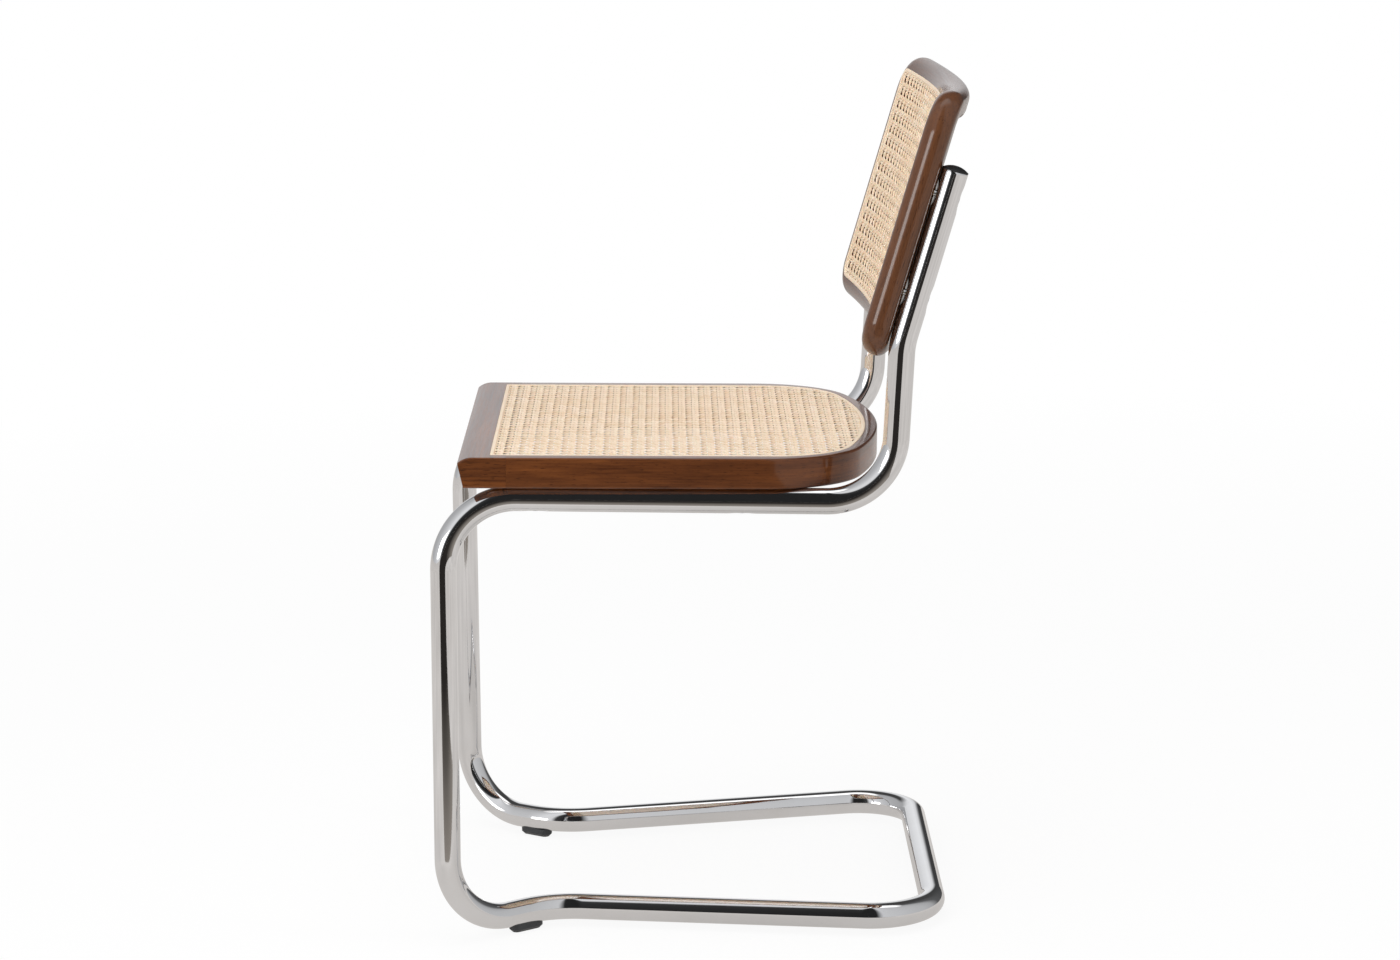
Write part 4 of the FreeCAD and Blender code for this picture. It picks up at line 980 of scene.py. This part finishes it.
def cane_material(name, warmth):
    """Glossy skin of the cane: each strand its own tone, with streaks and joint marks."""
    shader = Shader(name)
    c = colours()
    vector = grain_fibres(shader)
    strand_tone = shader.parts(vector)[2]
    streak = shader.streaks(vector, (26, 3800, 900), 3.0, 0.6)
    patch = shader.streaks(vector, (9, 90, 70), 3.0, 0.5)
    joints = shader.streaks(vector, (85, 30, 300), 1.0, 0.4)
    stops = [(0.30 - warmth, c.cane_pale), (0.82 - warmth, c.cane_warm)]
    body = shader.ramp(shader.weighted(strand_tone, 0.45, patch, 0.75), stops)
    lined = shader.marked(body, between(c.cane_warm, c.cane_node, 0.35), streak, 0.45, 0.75, 0.5)
    jointed = shader.marked(lined, c.cane_node, joints, 0.72, 0.78, 0.7)
    shader.set(Base_Color=jointed, Roughness=shader.grey(streak, 0.3, 0.7, 0.36, 0.52))
    shader.set(Coat_Weight=0.18, Coat_Roughness=0.3, Subsurface_Weight=0.08, Subsurface_Scale=0.002)
    shader.bump(streak, 0.25, 0.0001)
    return shader.material


def reed_material(name):
    """Pale reed: fine lengthwise fibres."""
    shader = Shader(name)
    pale, warm = colours().reed, colours().cane_warm
    vector = grain_fibres(shader)
    fibre = shader.streaks(vector, (40, 5200, 5200), 3.0, 0.6)
    patch = shader.streaks(vector, (22, 60, 60), 3.0, 0.5)
    body = shader.marked(pale, warm, patch, 0.3, 0.8, 0.45)
    lined = shader.marked(body, warm, fibre, 0.45, 0.75, 0.4)
    shader.set(Base_Color=lined, Roughness=shader.grey(fibre, 0.3, 0.7, 0.4, 0.6))
    shader.set(Subsurface_Weight=0.05, Subsurface_Scale=0.002)
    shader.bump(fibre, 0.3, 0.0001)
    return shader.material


def plastic_material(name, tint, dusty):
    """Moulded black plastic: fine spark texture and dusty high spots."""
    shader = Shader(name)
    coordinates = shader.coordinates()
    dust = (0.09, 0.09, 0.088)
    scuff = shader.streaks(coordinates, (40, 160, 60), 4.0, 0.65)
    tone = shader.marked(tint, dust, scuff, 0.55, 0.8, dusty)
    shader.set(Base_Color=tone, Roughness=shader.grey(scuff, 0.3, 0.8, 0.34, 0.6))
    shader.bump(shader.noise(coordinates, 2600.0, 2.0, 0.6), 0.35, 0.00008)
    return shader.material


def metal_material(name, tint, rough):
    """Turned metal of screws and inserts: a fine bumpy surface and slight tarnish."""
    shader = Shader(name)
    coordinates = shader.coordinates()
    mottled = shader.noise(coordinates, 420.0, 3.0, 0.6)
    tarnish = tuple(value * 0.72 for value in tint)
    shade = shader.marked(tint, tarnish, mottled, 0.4, 0.8, 0.5)
    rough_level = shader.grey(mottled, 0.3, 0.8, rough, rough + 0.12)
    shader.set(Base_Color=shade, Roughness=rough_level, Metallic=1.0)
    shader.bump(shader.noise(coordinates, 3000.0, 1.0, 0.5), 0.15, 0.00004)
    return shader.material


def dress(mark, material):
    """Gives the CAD nodes whose names hold a mark their finish."""
    for name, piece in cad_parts.items():
        if mark not in name:
            continue
        if not piece.material_slots:
            raise RuntimeError("no material slot on " + name)
        for slot_entry in piece.material_slots:
            slot_entry.material = material


# Operators


class CHAIR_OT_tube(bpy.types.Operator):
    """Builds the bent tube with its pressed spots"""

    bl_idname = "chair.tube"
    bl_label = "Bent tube"

    def execute(self, context):
        build_tube()
        return {"FINISHED"}


class CHAIR_OT_side_rail(bpy.types.Operator):
    """Builds the rail bent round the seat"""

    bl_idname = "chair.side_rail"
    bl_label = "Seat side rail"

    def execute(self, context):
        build_side_rail()
        return {"FINISHED"}


class CHAIR_OT_splines(bpy.types.Operator):
    """Builds the reed beads round both cane panels"""

    bl_idname = "chair.splines"
    bl_label = "Splines"

    def execute(self, context):
        build_spline("seat_reed", "seat_spline", cane_outline, on_seat)
        build_spline("back_reed", "back_spline", back_outline, on_back)
        return {"FINISHED"}


class CHAIR_OT_cane(bpy.types.Operator):
    """Weaves both cane panels"""

    bl_idname = "chair.cane"
    bl_label = "Woven cane"

    def execute(self, context):
        middle = (seat().cane_front + seat().cane_rear) / 2
        pale = cane_material("seat_cane_skin", 0.0)
        build_cane("seat_weave", "seat_cane", cane_outline, on_seat, (0.0, middle), pale)
        level = (back().cane_bottom + back().cane_top) / 2
        warm = cane_material("back_cane_skin", BACK_WARMTH)
        build_cane("back_weave", "back_cane", back_outline, on_back, (0.0, level), warm)
        return {"FINISHED"}


class CHAIR_OT_wood(bpy.types.Operator):
    """Finishes the straight and curved wood pieces"""

    bl_idname = "chair.wood"
    bl_label = "Stained wood"

    def execute(self, context):
        dress("seat_front_rail", stained_wood("nose_wood", nose_fibres, 0.31))
        upright = object_fibres(back_frame(), (2, 0, 1))
        back_pieces = [
            ("left_stile", upright, 1.7),
            ("right_stile", upright, 2.9),
            ("top_rail", curved_fibres, 4.3),
            ("bottom_rail", curved_fibres, 5.7),
        ]
        for name, fibres, shift in back_pieces:
            dress("back_" + name, stained_wood(name + "_wood", fibres, shift, BACK_BROWN))
        tint = colours().beech
        pale = between(tint, (1.0, 1.0, 1.0), 0.2)
        pore = between(tint, (0.0, 0.0, 0.0), 0.4)
        for name, order in (("seat_dowels", (1, 0, 2)), ("back_dowels", (0, 1, 2))):
            fibres = object_fibres(seat_frame(), order)
            dress(name, wood_material(name + "_beech", fibres, 7.1, tint, pale, pore))
        return {"FINISHED"}


class CHAIR_OT_fittings(bpy.types.Operator):
    """Finishes the caps, glides, screws and inserts"""

    bl_idname = "chair.fittings"
    bl_label = "Fittings"

    def execute(self, context):
        c = colours()
        dress("glide", plastic_material("glide_plastic", c.plastic, 0.35))
        dress("end_cap", plastic_material("cap_plastic", c.cap, 0.06))
        dress("_screw_", metal_material("screw_steel", c.chrome, 0.18))
        dress("_insert_", metal_material("insert_brass", c.brass, 0.3))
        return {"FINISHED"}


# Stage


# The camera's place and turns, its sensor, and its focal length as a share of the picture's width
CAMERA_PLACE = (3.822, -0.0274, 1.1376)
CAMERA_YAW = math.radians(0.314)
CAMERA_PITCH = math.radians(10.795)
CAMERA_ROLL = math.radians(1.016)
SENSOR_WIDTH = 36.0
FOCAL_SHARE = 3915.1 / 1400


def build_camera():
    """The camera at the photo's own place, level, turn and angle of view."""
    forward_flat = Vector((-math.cos(CAMERA_YAW), math.sin(CAMERA_YAW), 0))
    right_flat = Vector((math.sin(CAMERA_YAW), math.cos(CAMERA_YAW), 0))
    down_flat = Vector((0, 0, -1))
    forward = forward_flat * math.cos(CAMERA_PITCH) + down_flat * math.sin(CAMERA_PITCH)
    down = down_flat * math.cos(CAMERA_PITCH) - forward_flat * math.sin(CAMERA_PITCH)
    right = right_flat * math.cos(CAMERA_ROLL) + down * math.sin(CAMERA_ROLL)
    down = down * math.cos(CAMERA_ROLL) - right_flat * math.sin(CAMERA_ROLL)
    data = bpy.data.cameras.new("photo_camera")
    data.sensor_fit = "HORIZONTAL"
    data.sensor_width = SENSOR_WIDTH
    data.lens = SENSOR_WIDTH * FOCAL_SHARE
    data.clip_end = 100.0
    camera = new_object("photo_camera", data)
    turn = Matrix((right, -down, -forward)).transposed()
    spot = Vector(CAMERA_PLACE) + Vector((0, centring(), 0))
    camera.matrix_world = Matrix.Translation(spot) @ turn.to_4x4()
    bpy.context.scene.camera = camera


def flat_shape(name, corners, material):
    """One flat polygon of the stage."""
    mesh = bpy.data.meshes.new(name)
    mesh.from_pydata(corners, [], [tuple(range(len(corners)))])
    mesh.materials.append(material)
    shape = new_object(name, mesh)
    return shape


FLOOR_REACH = 14.0
# Brightness the floor glows with in reflections, by distance from the chair in metres: a painted
# reflection, darker under the chair as painted shade and darker far off as painted light falloff
PAINTED_FLOOR_REFLECTION = [(0.0, 0.58), (0.5, 0.67), (1.3, 0.71), (2.6, 0.68), (8.0, 0.64)]
FLOOR_TINT = (1.0, 0.955, 0.915)
# Distances between which the floor passes from shaded to plain white
FLOOR_FADE = (1.2, 3.0)


def tinted(levels, scale, tint):
    """Stops of a ramp from levels of brightness."""
    return [(at, tuple(level / scale * share for share in tint)) for at, level in levels]


def build_floor():
    """A wide pale floor: white for the camera, with the chair's soft shadow near it; in reflections it
    mostly glows as a painted reflection, darker near the chair as painted shade.
    """
    shader = Shader("pale_floor")
    shader.set(Base_Color=colours().floor, Roughness=0.9)
    spot = shader.position()
    distance = shader.node("ShaderNodeVectorMath", spot, operation="LENGTH").outputs["Value"]
    # Painted reflection: what mirrors see of the floor is mostly a glow, darker under the chair as painted
    # shade, with slight patches.
    levels = [(at / FLOOR_REACH, level) for at, level in PAINTED_FLOOR_REFLECTION]
    painted_reflection = shader.ramp(shader.math("DIVIDE", distance, FLOOR_REACH), tinted(levels, 1.0, FLOOR_TINT))
    mirrored = shader.node("ShaderNodeVectorMath", painted_reflection, operation="SCALE")
    cloudy = shader.grey(shader.noise(spot, 2.2, 1.0), 0.3, 0.7, 0.9, 1.1)
    shader.fill(mirrored.inputs["Scale"], cloudy)
    path = shader.node("ShaderNodeLightPath").outputs
    shown = shader.mix(path["Is Glossy Ray"], (1.0, 1.0, 1.0), mirrored.outputs[0])
    glow = shader.node("ShaderNodeEmission", shown, in_Strength=1.0)
    seen = path["Is Camera Ray"]
    for other in ("Is Glossy Ray", "Is Transmission Ray"):
        seen = shader.math("MAXIMUM", seen, path[other])
    share = shader.math("MULTIPLY", seen, shader.grey(distance, *FLOOR_FADE, 0.9, 1.0))
    mixed = shader.blend(share, shader.surface.outputs[0], glow.outputs[0])
    shader.fill(shader.tree.nodes["Material Output"].inputs["Surface"], mixed)
    signs = ((-1, -1), (1, -1), (1, 1), (-1, 1))
    flat_shape("floor", [(x * FLOOR_REACH, y * FLOOR_REACH, 0) for x, y in signs], shader.material)


# The glowing sheet before the camera, a painted reflection that fades away from the chair as painted light
# falloff: its outline, its height, and the distances between which it darkens
CLOTH = [(0.66, -0.42), (0.66, 0.58), (2.5, 0.6), (13, 3.0), (13, -8.5), (1.0, -0.66)]
CLOTH_LEVEL = 0.004
CLOTH_FADE = (0.7, 2.1)
PAINTED_REFLECTION_NEAR = (0.30, 0.27, 0.24)
PAINTED_REFLECTION_FAR = (0.026, 0.023, 0.021)


def build_painted_reflection_sheet():
    """A glowing sheet round the tripod, seen only in reflections: a painted reflection, brightest near the
    chair as painted light falloff.
    """
    shader = Shader("painted_reflection_sheet")
    fade = shader.grey(shader.parts(shader.position())[0], *CLOTH_FADE)
    half_way = tuple(0.4 * level for level in PAINTED_REFLECTION_NEAR)
    # Painted reflection: the sheet glows brightest near the chair and dims away from it, painting the fall
    # of light on the floor.
    glow = shader.ramp(fade, [(0.0, PAINTED_REFLECTION_NEAR), (0.45, half_way), (1.0, PAINTED_REFLECTION_FAR)])
    shader.set(Base_Color=(0.0, 0.0, 0.0), Roughness=1.0, Specular_IOR_Level=0.0)
    shader.set(Emission_Color=glow, Emission_Strength=1.0)
    shape = flat_shape("painted_reflection_sheet", [(x, y, CLOTH_LEVEL) for x, y in CLOTH], shader.material)
    for ray in ("camera", "diffuse", "shadow", "transmission"):
        setattr(shape, "visible_" + ray, False)


# Brightness of the studio's walls by compass turn from the camera's side, in degrees
WALLS = [
    (-180, 0.95), (-168, 0.85), (-150, 0.45), (-105, 0.52), (-75, 0.66), (-62, 0.76), (-50, 0.88),
    (-36, 0.85), (-30, 0.05), (-18, 0.02), (6, 0.02), (16, 0.70), (35, 0.66), (90, 0.56), (108, 0.46),
    (124, 0.12), (167, 0.05), (173, 0.8), (180, 0.95),
]
# The backdrop behind the chair: where it ends above the horizon, and how dark the room is above it
BACKDROP_TOP = (0.38, 0.56)
BACKDROP_TURN = (136, 150)
DARK_ROOM = 0.06
# The lamp overhead: its level and where it ends towards the walls and the camera
LAMP = 1.6
LAMP_START = (0.90, 0.94)
LAMP_EDGE = (-0.04, 0.04)
# The bright window low on one side: its level, turns in degrees and heights
WINDOW = 8.0
WINDOW_TURN = (-66, -61, -44, -40)
WINDOW_HEIGHT = (0.01, 0.05, 0.20, 0.27)
ROOM_TINT = (0.97, 0.98, 1.0)
# The even light that falls on the chair from all round
SOFT_LIGHT = 0.62


def plateau(tree, value, edges):
    """One between the inner two of four edges, falling to nothing at the outer two."""
    return tree.math("MULTIPLY", tree.grey(value, *edges[:2]), tree.grey(value, *edges[2:], 1.0, 0.0))


def build_world():
    """A studio seen by reflections: pale walls, a dark side at the camera, a lamp overhead and a window."""
    world = bpy.data.worlds.new("studio")
    bpy.context.scene.world = world
    world.use_nodes = True
    sky = NodeTree(world.node_tree)
    soft = sky.tree.nodes["Background"]
    soft.inputs["Color"].default_value = (1, 1, 1, 1)
    soft.inputs["Strength"].default_value = SOFT_LIGHT
    side, front, height = sky.parts(sky.node("ShaderNodeTexCoord").outputs["Generated"])
    turn = sky.math("ARCTAN2", front, side)
    levels = [((degrees + 180) / 360, level) for degrees, level in WALLS]
    walls = sky.ramp(sky.grey(turn, -math.pi, math.pi), tinted(levels, WINDOW, ROOM_TINT))
    away = sky.grey(sky.math("ABSOLUTE", turn), *(math.radians(degrees) for degrees in BACKDROP_TURN))
    over_backdrop = sky.math("MULTIPLY", sky.grey(height, *BACKDROP_TOP), away)
    pattern = sky.mix(over_backdrop, walls, (DARK_ROOM / WINDOW,) * 3)
    lamp = sky.math("MULTIPLY", sky.grey(height, *LAMP_START), sky.grey(side, *LAMP_EDGE, 1.0, 0.0))
    pattern = sky.mix(lamp, pattern, (LAMP / WINDOW,) * 3)
    turns = [math.radians(degrees) for degrees in WINDOW_TURN]
    window = sky.math("MULTIPLY", plateau(sky, turn, turns), plateau(sky, height, WINDOW_HEIGHT))
    pattern = sky.mix(window, pattern, (1.0, 1.0, 1.0))
    room = sky.node("ShaderNodeBackground", pattern, in_Strength=WINDOW).outputs[0]
    white = sky.node("ShaderNodeBackground", in_Color=(1, 1, 1, 1), in_Strength=1.0).outputs[0]
    path = sky.node("ShaderNodeLightPath").outputs
    shown = sky.blend(path["Is Glossy Ray"], soft.outputs[0], room)
    for seen in ("Is Transmission Ray", "Is Camera Ray"):
        shown = sky.blend(path[seen], shown, white)
    sky.fill(sky.tree.nodes["World Output"].inputs["Surface"], shown)


# Name, place, width, height and power in watts of each soft lamp
SOFTBOXES = [
    ("top_box", (0.5, -0.3, 2.6), 1.8, 1.8, 24),
    ("side_box", (2.6, -1.6, 1.9), 0.9, 1.6, 22),
    ("rear_box", (1.4, 2.6, 1.6), 0.8, 1.6, 12),
]
LAMP_TARGET = (0, 0, 0.4)


def softbox(name, spot, width, height, power):
    """A large soft lamp aimed at the chair, that mirrors don't show."""
    data = bpy.data.lights.new(name, "AREA")
    data.shape = "RECTANGLE"
    data.size = width
    data.size_y = height
    data.energy = power
    lamp = new_object(name, data)
    lamp.location = spot
    lamp.rotation_euler = (Vector(LAMP_TARGET) - Vector(spot)).to_track_quat("-Z", "Y").to_euler()
    lamp.visible_glossy = False


class CHAIR_OT_stage(bpy.types.Operator):
    """Sets up the floor, the lamps, the studio and the camera"""

    bl_idname = "chair.stage"
    bl_label = "Stage"

    def execute(self, context):
        view = context.scene.view_settings
        view.view_transform = "Standard"
        build_floor()
        build_painted_reflection_sheet()
        build_world()
        for name, spot, width, height, power in SOFTBOXES:
            softbox(name, spot, width, height, power)
        build_camera()
        return {"FINISHED"}


class CHAIR_PT_panel(bpy.types.Panel):
    """Lists the steps that dress the chair"""

    bl_label = "Cantilever chair"
    bl_space_type = "VIEW_3D"
    bl_region_type = "UI"
    bl_category = "Chair"

    def draw(self, context):
        for operator in STEPS:
            self.layout.operator(operator.bl_idname)


STEPS = [
    CHAIR_OT_tube,
    CHAIR_OT_side_rail,
    CHAIR_OT_splines,
    CHAIR_OT_cane,
    CHAIR_OT_wood,
    CHAIR_OT_fittings,
    CHAIR_OT_stage,
]
GROUPS = {
    "chair_tube": ChairTube,
    "chair_seat": ChairSeat,
    "chair_back": ChairBack,
    "chair_weave": ChairWeave,
    "chair_colours": ChairColours,
}
CLASSES = [*GROUPS.values(), *STEPS, CHAIR_PT_panel]


def register():
    for kind in CLASSES:
        bpy.utils.register_class(kind)
    for name, group in GROUPS.items():
        setattr(bpy.types.Scene, name, PointerProperty(type=group))


def unregister():
    for name in GROUPS:
        delattr(bpy.types.Scene, name)
    for kind in reversed(CLASSES):
        bpy.utils.unregister_class(kind)


def main():
    register()
    for step in STEPS:
        group, name = step.bl_idname.split(".")
        getattr(getattr(bpy.ops, group), name)()


if __name__ == "__main__":
    main()
